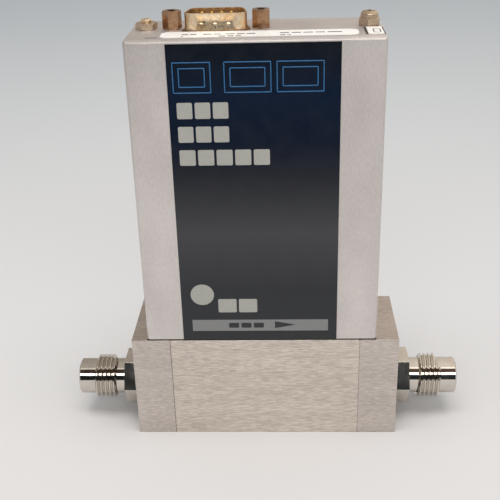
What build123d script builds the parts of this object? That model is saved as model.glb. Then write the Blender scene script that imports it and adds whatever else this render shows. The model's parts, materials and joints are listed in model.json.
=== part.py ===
from build123d import *
import os
from math import cos, pi, radians, sin, sqrt, tan

# A thermal mass flow controller for process gas.
# +X is the direction of flow, -Y is the front and +Z is up. The origin is the centre of the base's underside.

# ---------------------------------------------------------------- driving dimensions, mm
# Base: one main block between two end blocks.
BLOCK_LENGTH = 58.7
BLOCK_DEPTH = 28.6
BLOCK_HEIGHT = 34.7
END_BLOCK_LENGTH = 12.15
FLOW_HEIGHT = 12.7
GAS_BORE_R = 2.3
BASE_HOLE_SPACING_X = 30.0
BASE_HOLE_SPACING_Y = 16.0
BASE_HOLE_R = 1.65
BASE_HOLE_DEPTH = 6.0

# Cap screws that clamp the end blocks.
CLAMP_SCREW_D = 4.0
CLAMP_SCREW_GRIP = 8.0
CLAMP_EDGE_Y = 4.6
CLAMP_OFFSET_Z = 7.8

# Face-seal fittings, 1/4 inch, with a 9/16-18 thread.
FITTING_HEX_AF = 15.875
FITTING_HEX_LENGTH = 5.0
FITTING_HEX_TURN = 30.0
FITTING_HEX_CHAMFER_SHARE = 0.02
FITTING_NECK_R = 5.85
FITTING_NECK_LENGTH = 3.6
FITTING_THREAD_R = 7.145
FITTING_THREAD_LENGTH = 6.0
FITTING_THREAD_CHAMFER = 0.45
FITTING_NOSE_R = 5.85
FITTING_NOSE_LENGTH = 5.9
FITTING_NOSE_CHAMFER = 0.4
FITTING_FACE_R = 4.4
FITTING_FACE_DEPTH = 0.6
FITTING_BEAD_R = 0.4
FITTING_SHANK_R = 5.9
FITTING_SHANK_LENGTH = 6.5
PORT_RUNOUT = 0.5

# Seals, filter and laminar flow element.
SEAL_WIDTH = 1.2
SEAL_DEPTH = 1.0
BLOCK_SEAL_MARGIN = 0.5
FILTER_R = 6.0
FILTER_THICKNESS = 2.8
BYPASS_BORE_R = 7.0
BYPASS_BORE_REACH = 6.0
BYPASS_TAP_GAP = 0.6
BYPASS_LENGTH = 12.0
BYPASS_CHANNEL_R = 0.55
BYPASS_RING_PITCH = 2.0
RETAINER_WALL = 2.0
RETAINER_LENGTH = 3.0

# Thermal sensor on top of the main block.
SENSOR_FROM_SEAM = 15.0
SENSOR_TAP_SPACING = 16.0
SENSOR_TAP_R = 0.8
SENSOR_FLANGE_LENGTH = 24.0
SENSOR_FLANGE_GAP_Y = 1.5
SENSOR_FLANGE_THICKNESS = 4.0
FLANGE_CORNER_R = 1.5
SENSOR_TUBE_R = 0.5
SENSOR_TUBE_WALL = 0.12
SENSOR_TUBE_HEIGHT = 16.0
SENSOR_TUBE_BEND_R = 2.0
SENSOR_WINDING_LENGTH = 3.6
SENSOR_WINDING_R = 0.9
SENSOR_WINDING_PITCH = 5.0
SENSOR_CAN_LENGTH = 21.0
SENSOR_CAN_GAP_Y = 1.0
SENSOR_CAN_HEIGHT = 21.0
SENSOR_CAN_WALL = 0.8
SENSOR_CAN_EDGE_R = 1.0

# Control valve on top of the main block.
VALVE_FROM_SEAM = 14.0
VALVE_CHAMBER_R = 6.0
VALVE_CHAMBER_DEPTH = 8.0
VALVE_INLET_R = 0.9
VALVE_INLET_OFFSET = 4.6
VALVE_FEED_R = 1.5
SEAT_R = 3.4
SEAT_HEIGHT = 2.0
SEAT_LIP_HEIGHT = 0.3
SEAT_LIP_R = 1.2
SEAT_ORIFICE_R = 0.6
PLUNGER_R = 3.5
PLUNGER_LENGTH = 17.4
PLUNGER_LIFT = 0.3
DISC_R = 2.2
DISC_THICKNESS = 1.2
SPRING_WIRE_R = 0.2
SPRING_COIL_R = 1.7
SPRING_POCKET_DEPTH = 5.0
SPRING_TURNS = 5
SLEEVE_WALL = 0.8
VALVE_FLANGE_LENGTH = 17.0
VALVE_FLANGE_DEPTH = 22.9
VALVE_FLANGE_THICKNESS = 3.5
SPIGOT_LENGTH = 3.0
VALVE_STUD_R = 2.5
VALVE_NUT_AF = 8.0
VALVE_NUT_HEIGHT = 3.0
VALVE_STUD_END = 1.5
YOKE_OVERHANG = 0.1
YOKE_THICKNESS = 1.6
YOKE_HEIGHT = 22.0
BOBBIN_WALL = 0.75
BOBBIN_FLANGE = 1.0
WINDING_THICKNESS = 1.1

# Screws as shares of their diameter, small screws, and play between pieces.
CAP_HEAD_R_SHARE = 0.875
CAP_HEAD_CHAMFER_SHARE = 0.08
SOCKET_R_SHARE = 0.38
SOCKET_DEPTH_SHARE = 0.6
SOCKET_FLOOR_SHARE = 0.4
NUT_CHAMFER_SHARE = 0.08
NUT_HEIGHT_SHARE = 0.5
SHANK_END_SHARE = 0.6
SHANK_OVERRUN = 0.6
DRILL_OVERRUN = 1.0
HEAD_RECESS = 0.4
SMALL_SCREW_D = 2.5
SMALL_SCREW_GRIP = 5.0
SCREW_EDGE = 2.3
PLAY = 0.05
RUNNING_PLAY = 0.2
SEATING_GAP = 0.05

# Folded cover.
COVER_LEDGE_INLET = 5.05
COVER_LEDGE_OUTLET = 7.1
COVER_SETBACK = 0.3
COVER_HEIGHT = 92.6
COVER_WALL = 1.0
COVER_GAP = 0.05
COVER_BEND_R = 1.2
COVER_EDGE_R = 0.8
COVER_SEAM = 0.2

# Sheet bracket that carries the boards and the cover.
BRACKET_THICKNESS = 1.2
BRACKET_FRONT_GAP = 4.0
BRACKET_BACK_GAP = 3.6
BRACKET_BEND_R = 0.8
BRACKET_FOOT_LEFT = 6.6
BRACKET_FOOT_RIGHT = 8.1
BRACKET_SCREW_FROM_SEAM = 2.0
BRACKET_SCREW_SPACING = 7.0
BRACKET_FLANGE_WIDTH = 7.2
BRACKET_SIDE_GAP = 0.4

# Circuit boards.
BOARD_THICKNESS = 1.6
BOARD_ABOVE_BLOCK = 7.7
BOARD_BELOW_COVER = 5.85
BOARD_SIDE_GAP = 0.8
BOARD_HOLE_INSET = 3.4
CONNECTOR_BOARD_WIDTH = 29.0
CONNECTOR_BOARD_DROP = 2.7
CONNECTOR_BOARD_MARGIN = 1.0

# Pieces on the main board: chips, a column of capacitors, a row of trim pots and two plugs. A chip is given by
# its distance from the board's left edge, its height above the bottom edge, its width and its height.
CHIPS = [(20.0, 54.0, 18.0, 10.0), (42.0, 54.0, 10.0, 10.0), (16.0, 38.0, 10.0, 8.0), (32.0, 38.0, 10.0, 8.0)]
CHIP_RISE = 2.4
CAPACITOR_R = 4.0
CAPACITOR_RISE = 10.0
CAPACITOR_GAP = 1.0
CAPACITOR_EDGE_R = 0.5
CAPACITOR_PITCH = 10.0
CAPACITOR_TOP_DROP = 13.0
CAPACITOR_COUNT = 3
TRIM_POT_SIZE = 6.6
TRIM_POT_PITCH = 9.0
TRIM_POT_RISE = 5.0
TRIM_POT_DROP = 12.0
TRIM_POT_COUNT = 3
TRIM_SCREW_R = 1.1
TRIM_SCREW_RISE = 0.6
TRIM_SLOT = 0.2
TRIM_POT_GAP = 0.5
PLUG_WIDTH = 9.0
PLUG_HEIGHT = 4.0
PLUG_RISE = 4.0
PLUG_RAISE = 2.7
FLEX_WIDTH = 7.0
FLEX_THICKNESS = 0.3
FLEX_BEND_R = 1.6
LEAD_R = 0.45
LEAD_SPACING = 2.4
LEAD_RUN = 5.0
LEAD_BEND_R = 4.0
LEAD_EXIT_HEIGHT = 3.0

# Nine-pin D connector, pins up, with its five-pin row in front.
CONNECTOR_FROM_EDGE = 24.4
CONNECTOR_Y = 1.4
SHELL_WIDTH = 18.3
SHELL_DEPTH = 9.3
SHELL_WALL = 0.47
SHELL_HEIGHT = 5.8
SHELL_CORNER_R = 2.5
SHELL_SLOPE_DEG = 10.0
DIMPLE_SPACING = 3.75
DIMPLE_R = 2.2
DIMPLE_DEPTH = 0.25
DIMPLE_DROP = 2.0
CONNECTOR_FLANGE_WIDTH = 30.8
CONNECTOR_FLANGE_DEPTH = 12.55
CONNECTOR_FLANGE_THICKNESS = 0.9
CONNECTOR_CORNER_R = 1.0
REAR_SHELL_WIDTH = 18.4
REAR_SHELL_DEPTH = 10.2
REAR_SHELL_HEIGHT = 5.0
INSULATOR_RISE = 0.8
PIN_R = 0.51
PIN_TIP_SHARE = 0.8
PIN_PITCH = 2.77
PIN_ROW_GAP = 2.84
PIN_RIM_GAP = 0.45
PIN_TAIL = 2.0
JACK_SPACING = 24.99
JACK_HEX_AF = 4.76
JACK_HEX_HEIGHT = 5.0
JACK_TURNS = (15.0, 30.0)
JACK_THREAD_R = 1.4
JACK_SOCKET_R = 1.15
JACK_SOCKET_DEPTH = 4.0
JACK_NUT_AF = 6.2
JACK_NUT_HEIGHT = 2.4
CUTOUT_MARGIN = 1.0

# Cover fixings.
STUD_FROM_EDGE = 4.6
SPACER_FROM_EDGE = 3.8
FIXING_Y = 1.6
FIXING_D = 3.0
FIXING_FOOT_R = 2.5
FIXING_FOOT_HEIGHT = 2.4
FIXING_HEX_AF = 5.5
NUT_TURN = 12.0
SPACER_TURN = 20.0
COVER_NUT_HEIGHT = 1.8
STUD_RISE = 2.8
STUD_TIP_SHARE = 0.1
SPACER_HEIGHT = 2.1
PAN_HEAD_R = 2.45
PAN_HEAD_HEIGHT = 1.8
PAN_ROUND_SHARE = 0.6
CROSS_LENGTH = 2.8
CROSS_WIDTH = 0.6
CROSS_DEPTH = 1.0

# Film labels.
LABEL_THICKNESS = 0.2
FRONT_LABEL_INSET_INLET = 11.4
FRONT_LABEL_INSET_OUTLET = 12.25
FRONT_LABEL_MARGIN_Z = 0.2
TOP_LABEL_INSET_INLET = 9.7
TOP_LABEL_INSET_OUTLET = 7.4
TOP_LABEL_INSET_FRONT = 2.0
TOP_LABEL_DEPTH = 7.7
TOP_LABEL_ROUND_SHARE = 0.3
TOP_LABEL_THICKNESS = 0.15
CORNER_LABEL_WIDTH = 4.2
CORNER_LABEL_INSET_FRONT = 2.6
CORNER_LABEL_GAP = 0.6

# ---------------------------------------------------------------- places worked out from them
SEAM_X = BLOCK_LENGTH / 2
BASE_END_X = SEAM_X + END_BLOCK_LENGTH
HALF_DEPTH = BLOCK_DEPTH / 2
CLAMP_Y = HALF_DEPTH - CLAMP_EDGE_Y
SENSOR_X = -SEAM_X + SENSOR_FROM_SEAM
BLOCK_SEAL_R = BYPASS_BORE_R + BLOCK_SEAL_MARGIN
VALVE_X = SEAM_X - VALVE_FROM_SEAM
BYPASS_BORE_END_X = SENSOR_X + SENSOR_TAP_SPACING / 2 + BYPASS_BORE_REACH
BYPASS_END_X = SENSOR_X + SENSOR_TAP_SPACING / 2 - SENSOR_TAP_R - BYPASS_TAP_GAP

COVER_BOTTOM_Z = BLOCK_HEIGHT + COVER_GAP
COVER_TOP_Z = COVER_BOTTOM_Z + COVER_HEIGHT
COVER_X0 = -BASE_END_X + COVER_LEDGE_INLET
COVER_X1 = BASE_END_X - COVER_LEDGE_OUTLET
COVER_DEPTH = BLOCK_DEPTH - 2 * COVER_SETBACK
COVER_INNER_Y = COVER_DEPTH / 2 - COVER_WALL
COVER_INNER_TOP_Z = COVER_TOP_Z - COVER_WALL
CONNECTOR_X = COVER_X0 + CONNECTOR_FROM_EDGE
STUD_X = COVER_X0 + STUD_FROM_EDGE
SPACER_X = COVER_X1 - SPACER_FROM_EDGE

FLANGE_BOTTOM_Z = COVER_INNER_TOP_Z - CONNECTOR_FLANGE_THICKNESS
BRIDGE_BOTTOM_Z = FLANGE_BOTTOM_Z - BRACKET_THICKNESS
REAR_SHELL_BOTTOM_Z = FLANGE_BOTTOM_Z - REAR_SHELL_HEIGHT
SHELL_RIM_Z = COVER_INNER_TOP_Z + SHELL_HEIGHT
CONNECTOR_BOARD_TOP_Z = REAR_SHELL_BOTTOM_Z - CONNECTOR_BOARD_DROP

BRACKET_X0 = COVER_X0 + COVER_WALL + BRACKET_SIDE_GAP
BRACKET_X1 = COVER_X1 - COVER_WALL - BRACKET_SIDE_GAP
BRACKET_BACK_Y = COVER_INNER_Y - BRACKET_BACK_GAP
BRACKET_DEPTH = BRACKET_BACK_Y + COVER_INNER_Y - BRACKET_FRONT_GAP
BRACKET_SCREWS_X = (-SEAM_X - BRACKET_SCREW_FROM_SEAM, SEAM_X - BRACKET_SCREW_FROM_SEAM)
BOARD_X0 = COVER_X0 + COVER_WALL + BOARD_SIDE_GAP
BOARD_X1 = COVER_X1 - COVER_WALL - BOARD_SIDE_GAP
BOARD_BACK_Y = BRACKET_BACK_Y + BOARD_THICKNESS
BOARD_BOTTOM_Z = BLOCK_HEIGHT + BOARD_ABOVE_BLOCK
BOARD_TOP_Z = COVER_INNER_TOP_Z - BOARD_BELOW_COVER

SENSOR_FLANGE_TOP_Z = BLOCK_HEIGHT + SENSOR_FLANGE_THICKNESS
SENSOR_CAN_TOP_Z = SENSOR_FLANGE_TOP_Z + SENSOR_CAN_HEIGHT
SENSOR_TUBE_TOP_Z = SENSOR_FLANGE_TOP_Z + SENSOR_TUBE_HEIGHT

CHAMBER_FLOOR_Z = BLOCK_HEIGHT - VALVE_CHAMBER_DEPTH
PLUNGER_BOTTOM_Z = CHAMBER_FLOOR_Z + SEAT_HEIGHT + SEAT_LIP_HEIGHT + SEATING_GAP
PLUNGER_TOP_Z = PLUNGER_BOTTOM_Z + PLUNGER_LENGTH
CORE_BOTTOM_Z = PLUNGER_TOP_Z + PLUNGER_LIFT + SEATING_GAP
SLEEVE_INNER_R = PLUNGER_R + RUNNING_PLAY
SLEEVE_OUTER_R = SLEEVE_INNER_R + SLEEVE_WALL
VALVE_FLANGE_TOP_Z = BLOCK_HEIGHT + VALVE_FLANGE_THICKNESS
YOKE_TOP_Z = VALVE_FLANGE_TOP_Z + YOKE_HEIGHT
BOBBIN_INNER_R = SLEEVE_OUTER_R + RUNNING_PLAY
BOBBIN_OUTER_R = BOBBIN_INNER_R + BOBBIN_WALL
WINDING_R = BOBBIN_OUTER_R + WINDING_THICKNESS
BOBBIN_FLANGE_R = VALVE_FLANGE_LENGTH / 2 - YOKE_THICKNESS - RUNNING_PLAY
SENSOR_FLANGE_DEPTH = 2 * (COVER_INNER_Y - SENSOR_FLANGE_GAP_Y)
SENSOR_SCREW_INNER = SCREW_EDGE + SMALL_SCREW_D * CAP_HEAD_R_SHARE
SENSOR_CAN_DEPTH = SENSOR_FLANGE_DEPTH - 2 * (SENSOR_SCREW_INNER + SENSOR_CAN_GAP_Y)
YOKE_DEPTH = 2 * (BOBBIN_FLANGE_R + YOKE_OVERHANG)
PLUG_BOTTOM_Z = max(YOKE_TOP_Z + VALVE_NUT_HEIGHT, SENSOR_CAN_TOP_Z) + PLUG_RAISE


# ---------------------------------------------------------------- shared shapes
def box_between(x0, x1, y0, y1, z0, z1):
    """A box from its two corners."""
    centre = Pos((x0 + x1) / 2, (y0 + y1) / 2, (z0 + z1) / 2)
    return centre * Box(x1 - x0, y1 - y0, z1 - z0)


def post(radius, x, y, z0, z1):
    """An upright cylinder from z0 to z1."""
    return Pos(x, y, (z0 + z1) / 2) * Cylinder(radius, z1 - z0)


def tube(outer_r, inner_r, x, y, z0, z1):
    """An upright tube from z0 to z1."""
    return post(outer_r, x, y, z0, z1) - post(inner_r, x, y, z0, z1)


def bar_x(radius, x0, x1, y, z):
    """A cylinder along the flow, from x0 to x1."""
    return Pos((x0 + x1) / 2, y, z) * Rot(0, 90, 0) * Cylinder(radius, x1 - x0)


def ring_x(outer_r, inner_r, x0, x1):
    """A ring around the gas way."""
    return bar_x(outer_r, x0, x1, 0, FLOW_HEIGHT) - bar_x(inner_r, x0, x1, 0, FLOW_HEIGHT)


def turned(profile):
    """A piece turned about X, from its (along, radius) outline."""
    return revolve(make_face(Polyline(*profile, close=True)), Axis.X, 360)


def hexagon(across_flats, height, chamfer_share=NUT_CHAMFER_SHARE):
    """A hexagon standing on z = 0 with turned corners, its corners towards +X and -X."""
    corner_r = across_flats / sqrt(3)
    edge = across_flats * chamfer_share
    slope = edge * tan(radians(30))
    limit = Cylinder(corner_r, height, align=(Align.CENTER, Align.CENTER, Align.MIN))
    limit = chamfer(limit.edges().filter_by(GeomType.CIRCLE), slope, edge)
    return extrude(RegularPolygon(across_flats / 2, 6, major_radius=False), height) & limit


def cap_screw(diameter, length):
    """A socket cap screw: its head stands on z = 0 and its shank hangs below."""
    head = Cylinder(diameter * CAP_HEAD_R_SHARE, diameter, align=(Align.CENTER, Align.CENTER, Align.MIN))
    head = chamfer(head.edges().filter_by(GeomType.CIRCLE).sort_by(Axis.Z)[-1],
                   diameter * CAP_HEAD_CHAMFER_SHARE)
    socket = extrude(RegularPolygon(diameter * SOCKET_R_SHARE, 6, major_radius=False),
                     diameter * SOCKET_DEPTH_SHARE)
    shank = post(diameter / 2, 0, 0, -length, 0)
    return head + shank - Pos(0, 0, diameter * SOCKET_FLOOR_SHARE) * socket


def corners(centre_x, half_x, half_y):
    """The four corners of a rectangle centred at (centre_x, 0)."""
    return [(centre_x + sx * half_x, sy * half_y) for sx in (-1, 1) for sy in (-1, 1)]


def write_node(name, *pieces):
    """Write one node's solids to its STEP file."""
    solids = [solid for piece in pieces for solid in piece.solids()]
    shape = solids[0] if len(solids) == 1 else Compound(solids)
    export_step(shape, f"parts/{name}.step")


# ---------------------------------------------------------------- base
def clamp_places():
    """Where the end blocks' screws run along X: (y, z)."""
    return [(sy * CLAMP_Y, FLOW_HEIGHT + sz * CLAMP_OFFSET_Z) for sy in (-1, 1) for sz in (-1, 1)]


def sensor_screw_places():
    half_x = SENSOR_FLANGE_LENGTH / 2 - SCREW_EDGE
    half_y = SENSOR_FLANGE_DEPTH / 2 - SCREW_EDGE
    return corners(SENSOR_X, half_x, half_y)


def valve_screw_places():
    half_x = VALVE_FLANGE_LENGTH / 2 - SCREW_EDGE
    half_y = VALVE_FLANGE_DEPTH / 2 - SCREW_EDGE
    return corners(VALVE_X, half_x, half_y)


def bracket_screw_places(x):
    return [(x, sy * BRACKET_SCREW_SPACING / 2) for sy in (-1, 1)]


def small_screw_hole(x, y):
    """A blind hole from the base's top face."""
    hole_bottom = BLOCK_HEIGHT - SMALL_SCREW_GRIP - DRILL_OVERRUN
    return post(SMALL_SCREW_D / 2 + PLAY, x, y, hole_bottom, BLOCK_HEIGHT)


def sensor_tap_places():
    return [(SENSOR_X + side * SENSOR_TAP_SPACING / 2, 0) for side in (-1, 1)]


def main_block():
    """The centre block: bypass bore, sensor taps, valve chamber and gas ways."""
    block = box_between(-SEAM_X, SEAM_X, -HALF_DEPTH, HALF_DEPTH, 0, BLOCK_HEIGHT)
    feed_x = VALVE_X - VALVE_INLET_OFFSET
    cuts = [
        bar_x(BYPASS_BORE_R, -SEAM_X, BYPASS_BORE_END_X, 0, FLOW_HEIGHT),
        bar_x(VALVE_FEED_R, BYPASS_BORE_END_X, feed_x + VALVE_INLET_R, 0, FLOW_HEIGHT),
        post(VALVE_INLET_R, feed_x, 0, FLOW_HEIGHT, CHAMBER_FLOOR_Z),
        post(VALVE_CHAMBER_R, VALVE_X, 0, CHAMBER_FLOOR_Z, BLOCK_HEIGHT),
        post(VALVE_CHAMBER_R + SEAL_WIDTH + PLAY, VALVE_X, 0, BLOCK_HEIGHT - SEAL_DEPTH, BLOCK_HEIGHT),
        post(VALVE_FEED_R, VALVE_X, 0, FLOW_HEIGHT, CHAMBER_FLOOR_Z),
        bar_x(GAS_BORE_R, VALVE_X - VALVE_FEED_R, SEAM_X, 0, FLOW_HEIGHT),
    ]
    for x, y in sensor_tap_places():
        cuts.append(post(SENSOR_TAP_R, x, y, FLOW_HEIGHT, BLOCK_HEIGHT))
        cuts.append(post(SENSOR_TAP_R + SEAL_WIDTH + PLAY, x, y, BLOCK_HEIGHT - SEAL_DEPTH, BLOCK_HEIGHT))
    for x, y in corners(0, BASE_HOLE_SPACING_X / 2, BASE_HOLE_SPACING_Y / 2):
        cuts.append(post(BASE_HOLE_R, x, y, 0, BASE_HOLE_DEPTH))
    for y, z in clamp_places():
        reach = CLAMP_SCREW_GRIP + DRILL_OVERRUN
        cuts.append(bar_x(CLAMP_SCREW_D / 2 + PLAY, -SEAM_X, -SEAM_X + reach, y, z))
        cuts.append(bar_x(CLAMP_SCREW_D / 2 + PLAY, SEAM_X - reach, SEAM_X, y, z))
    for x, y in sensor_screw_places() + valve_screw_places() + bracket_screw_places(BRACKET_SCREWS_X[1]):
        cuts.append(small_screw_hole(x, y))
    return block - cuts


def end_block(side):
    """The inlet (side -1) or outlet (side +1) block: fitting port, seal groove and screw holes."""
    inner = SEAM_X
    outer = BASE_END_X
    head_seat = outer - CLAMP_SCREW_D - HEAD_RECESS
    port_floor = outer - FITTING_SHANK_LENGTH - PORT_RUNOUT
    block = box_between(inner, outer, -HALF_DEPTH, HALF_DEPTH, 0, BLOCK_HEIGHT)
    cuts = [
        bar_x(GAS_BORE_R, inner, outer, 0, FLOW_HEIGHT),
        bar_x(FITTING_SHANK_R + PLAY, port_floor, outer, 0, FLOW_HEIGHT),
        bar_x(FITTING_SHANK_R + SEAL_WIDTH + PLAY, outer - SEAL_DEPTH, outer, 0, FLOW_HEIGHT),
        ring_x(BLOCK_SEAL_R + SEAL_WIDTH + PLAY, BLOCK_SEAL_R - PLAY, inner, inner + SEAL_DEPTH),
    ]
    for y, z in clamp_places():
        cuts.append(bar_x(CLAMP_SCREW_D / 2 + RUNNING_PLAY, inner, outer, y, z))
        cuts.append(bar_x(CLAMP_SCREW_D * CAP_HEAD_R_SHARE + RUNNING_PLAY, head_seat, outer, y, z))
    if side < 0:
        cuts.append(bar_x(FILTER_R + PLAY, inner, inner + FILTER_THICKNESS, 0, FLOW_HEIGHT))
    block = block - cuts
    if side < 0:
        block = block.mirror(Plane.YZ)
        for x, y in bracket_screw_places(BRACKET_SCREWS_X[0]):
            block = block - small_screw_hole(x, y)
    return block


def clamp_screws(side):
    """Four cap screws from the end block into the main block."""
    head_seat = BASE_END_X - CLAMP_SCREW_D - HEAD_RECESS
    length = head_seat - SEAM_X + CLAMP_SCREW_GRIP
    screws = []
    for y, z in clamp_places():
        screw = Pos(head_seat, y, z) * Rot(0, 90, 0) * cap_screw(CLAMP_SCREW_D, length)
        screws.append(screw if side > 0 else screw.mirror(Plane.YZ))
    return screws


def fitting(side):
    """A male face-seal fitting with its hexagon flat against the end block."""
    neck = FITTING_HEX_LENGTH + FITTING_NECK_LENGTH
    thread = neck + FITTING_THREAD_LENGTH
    tip = thread + FITTING_NOSE_LENGTH
    face = tip - FITTING_FACE_DEPTH
    edge = FITTING_THREAD_CHAMFER
    outline = [
        (-FITTING_SHANK_LENGTH, GAS_BORE_R),
        (-FITTING_SHANK_LENGTH, FITTING_SHANK_R - edge),
        (-FITTING_SHANK_LENGTH + edge, FITTING_SHANK_R),
        (0, FITTING_SHANK_R),
        (FITTING_HEX_LENGTH / 2, FITTING_SHANK_R),
        (FITTING_HEX_LENGTH / 2, FITTING_NECK_R),
        (neck, FITTING_NECK_R),
        (neck, FITTING_THREAD_R - edge),
        (neck + edge, FITTING_THREAD_R),
        (thread - edge, FITTING_THREAD_R),
        (thread, FITTING_THREAD_R - edge),
        (thread, FITTING_NOSE_R),
        (tip - FITTING_NOSE_CHAMFER, FITTING_NOSE_R),
        (tip, FITTING_NOSE_R - FITTING_NOSE_CHAMFER),
        (tip, FITTING_FACE_R),
        (face, FITTING_FACE_R),
        (face, GAS_BORE_R),
    ]
    bead_r = (FITTING_FACE_R + GAS_BORE_R) / 2
    bead = Pos(face, 0, 0) * Rot(0, 90, 0) * Torus(bead_r, FITTING_BEAD_R)
    nut = Rot(0, 90, 0) * Rot(0, 0, -FITTING_HEX_TURN) * hexagon(FITTING_HEX_AF, FITTING_HEX_LENGTH,
                                                                 FITTING_HEX_CHAMFER_SHARE)
    bore = Rot(0, 90, 0) * Cylinder(GAS_BORE_R, 3 * tip)
    piece = Pos(BASE_END_X, 0, FLOW_HEIGHT) * (turned(outline) + nut + bead - bore)
    return piece if side > 0 else piece.mirror(Plane.YZ)


def fitting_seals():
    """Flat rings between the fittings and the end blocks."""
    outer = BASE_END_X
    ring = ring_x(FITTING_SHANK_R + SEAL_WIDTH, FITTING_SHANK_R + PLAY, outer - SEAL_DEPTH, outer)
    return [ring, ring.mirror(Plane.YZ)]


def end_block_seals():
    """Rings in the end blocks' inner faces."""
    inner_r = BLOCK_SEAL_R
    ring = ring_x(inner_r + SEAL_WIDTH, inner_r, SEAM_X, SEAM_X + SEAL_DEPTH)
    return [ring, ring.mirror(Plane.YZ)]


def inlet_filter():
    return bar_x(FILTER_R, -SEAM_X - FILTER_THICKNESS, -SEAM_X, 0, FLOW_HEIGHT)


def bypass_element():
    """The laminar flow element: a plug with rings of fine channels, pushed to the bore's end."""
    start_x = BYPASS_END_X - BYPASS_LENGTH
    plug = bar_x(BYPASS_BORE_R - PLAY, start_x, BYPASS_END_X, 0, FLOW_HEIGHT)
    channels = []
    for ring in (1, 2):
        ring_r = ring * BYPASS_RING_PITCH
        count = 6 * ring
        for step in range(count):
            angle = 2 * pi * step / count
            y = ring_r * cos(angle)
            z = FLOW_HEIGHT + ring_r * sin(angle)
            channels.append(bar_x(BYPASS_CHANNEL_R, start_x, BYPASS_END_X, y, z))
    return plug - channels


def bypass_retainer():
    """The ring that holds the flow element against the gas pressure."""
    end_x = BYPASS_END_X - BYPASS_LENGTH
    return ring_x(BYPASS_BORE_R - PLAY, BYPASS_BORE_R - RETAINER_WALL, end_x - RETAINER_LENGTH, end_x)


# ---------------------------------------------------------------- sensor
def sensor_can_box(gap, z0, z1):
    """The sensor can's inside, or a smaller block that fits it."""
    half_x = SENSOR_CAN_LENGTH / 2 - gap
    half_y = SENSOR_CAN_DEPTH / 2 - gap
    return box_between(SENSOR_X - half_x, SENSOR_X + half_x, -half_y, half_y, z0, z1)


def sensor_flange():
    half_x = SENSOR_FLANGE_LENGTH / 2
    half_y = SENSOR_FLANGE_DEPTH / 2
    plate = box_between(SENSOR_X - half_x, SENSOR_X + half_x, -half_y, half_y, BLOCK_HEIGHT,
                        SENSOR_FLANGE_TOP_Z)
    plate = fillet(plate.edges().filter_by(Axis.Z), FLANGE_CORNER_R)
    for x, y in sensor_tap_places():
        plate = plate - post(SENSOR_TUBE_R + PLAY, x, y, BLOCK_HEIGHT, SENSOR_FLANGE_TOP_Z)
    for x, y in sensor_screw_places():
        plate = plate - post(SMALL_SCREW_D / 2 + RUNNING_PLAY, x, y, BLOCK_HEIGHT, SENSOR_FLANGE_TOP_Z)
    return plate


def sensor_tube():
    """The capillary tube: up one leg, across the top and down the other."""
    left, right = (x for x, y in sensor_tap_places())
    foot_z = BLOCK_HEIGHT + RUNNING_PLAY
    path = FilletPolyline((left, 0, foot_z), (left, 0, SENSOR_TUBE_TOP_Z), (right, 0, SENSOR_TUBE_TOP_Z),
                          (right, 0, foot_z), radius=SENSOR_TUBE_BEND_R)
    section = Circle(SENSOR_TUBE_R) - Circle(SENSOR_TUBE_R - SENSOR_TUBE_WALL)
    return sweep(Plane((left, 0, foot_z)) * section, path=path)


def sensor_windings():
    """The two heater windings on the tube's cross run."""
    coils = []
    for side in (-1, 1):
        centre = SENSOR_X + side * SENSOR_WINDING_PITCH / 2
        x0 = centre - SENSOR_WINDING_LENGTH / 2
        x1 = centre + SENSOR_WINDING_LENGTH / 2
        coil = bar_x(SENSOR_WINDING_R, x0, x1, 0, SENSOR_TUBE_TOP_Z)
        coils.append(coil - bar_x(SENSOR_TUBE_R + PLAY, x0, x1, 0, SENSOR_TUBE_TOP_Z))
    return coils


def sensor_insulation():
    """Two foam pads, in front of the tube and behind it."""
    inside = sensor_can_box(SENSOR_CAN_WALL + PLAY, SENSOR_FLANGE_TOP_Z, SENSOR_CAN_TOP_Z - SENSOR_CAN_WALL)
    half_y = SENSOR_CAN_DEPTH / 2
    gap = SENSOR_WINDING_R + PLAY
    reach = SENSOR_CAN_LENGTH / 2
    slot = box_between(SENSOR_X - reach, SENSOR_X + reach, -gap, gap, SENSOR_FLANGE_TOP_Z, SENSOR_CAN_TOP_Z)
    pads = inside - slot
    front = box_between(SENSOR_X - reach, SENSOR_X + reach, -half_y, 0, SENSOR_FLANGE_TOP_Z, SENSOR_CAN_TOP_Z)
    return [pads & front, pads - front]


def sensor_can():
    """The drawn can over the tube, open at the bottom."""
    can = sensor_can_box(0, SENSOR_FLANGE_TOP_Z, SENSOR_CAN_TOP_Z)
    can = fillet(can.edges().filter_by(Axis.Z) + can.faces().sort_by(Axis.Z)[-1].edges(), SENSOR_CAN_EDGE_R)
    return can - sensor_can_box(SENSOR_CAN_WALL, SENSOR_FLANGE_TOP_Z, SENSOR_CAN_TOP_Z - SENSOR_CAN_WALL)


def sensor_seals():
    return [tube(SENSOR_TAP_R + SEAL_WIDTH, SENSOR_TAP_R, x, y, BLOCK_HEIGHT - SEAL_DEPTH, BLOCK_HEIGHT)
            for x, y in sensor_tap_places()]


def flange_screws(places, seat_z):
    """Cap screws through a flange into the main block."""
    length = seat_z - BLOCK_HEIGHT + SMALL_SCREW_GRIP
    return [Pos(x, y, seat_z) * cap_screw(SMALL_SCREW_D, length) for x, y in places]


# ---------------------------------------------------------------- valve
def valve_seat():
    base = post(SEAT_R, VALVE_X, 0, CHAMBER_FLOOR_Z, CHAMBER_FLOOR_Z + SEAT_HEIGHT)
    lip_top = CHAMBER_FLOOR_Z + SEAT_HEIGHT + SEAT_LIP_HEIGHT
    lip = post(SEAT_LIP_R, VALVE_X, 0, CHAMBER_FLOOR_Z + SEAT_HEIGHT, lip_top)
    return base + lip - post(SEAT_ORIFICE_R, VALVE_X, 0, CHAMBER_FLOOR_Z, lip_top)


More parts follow.
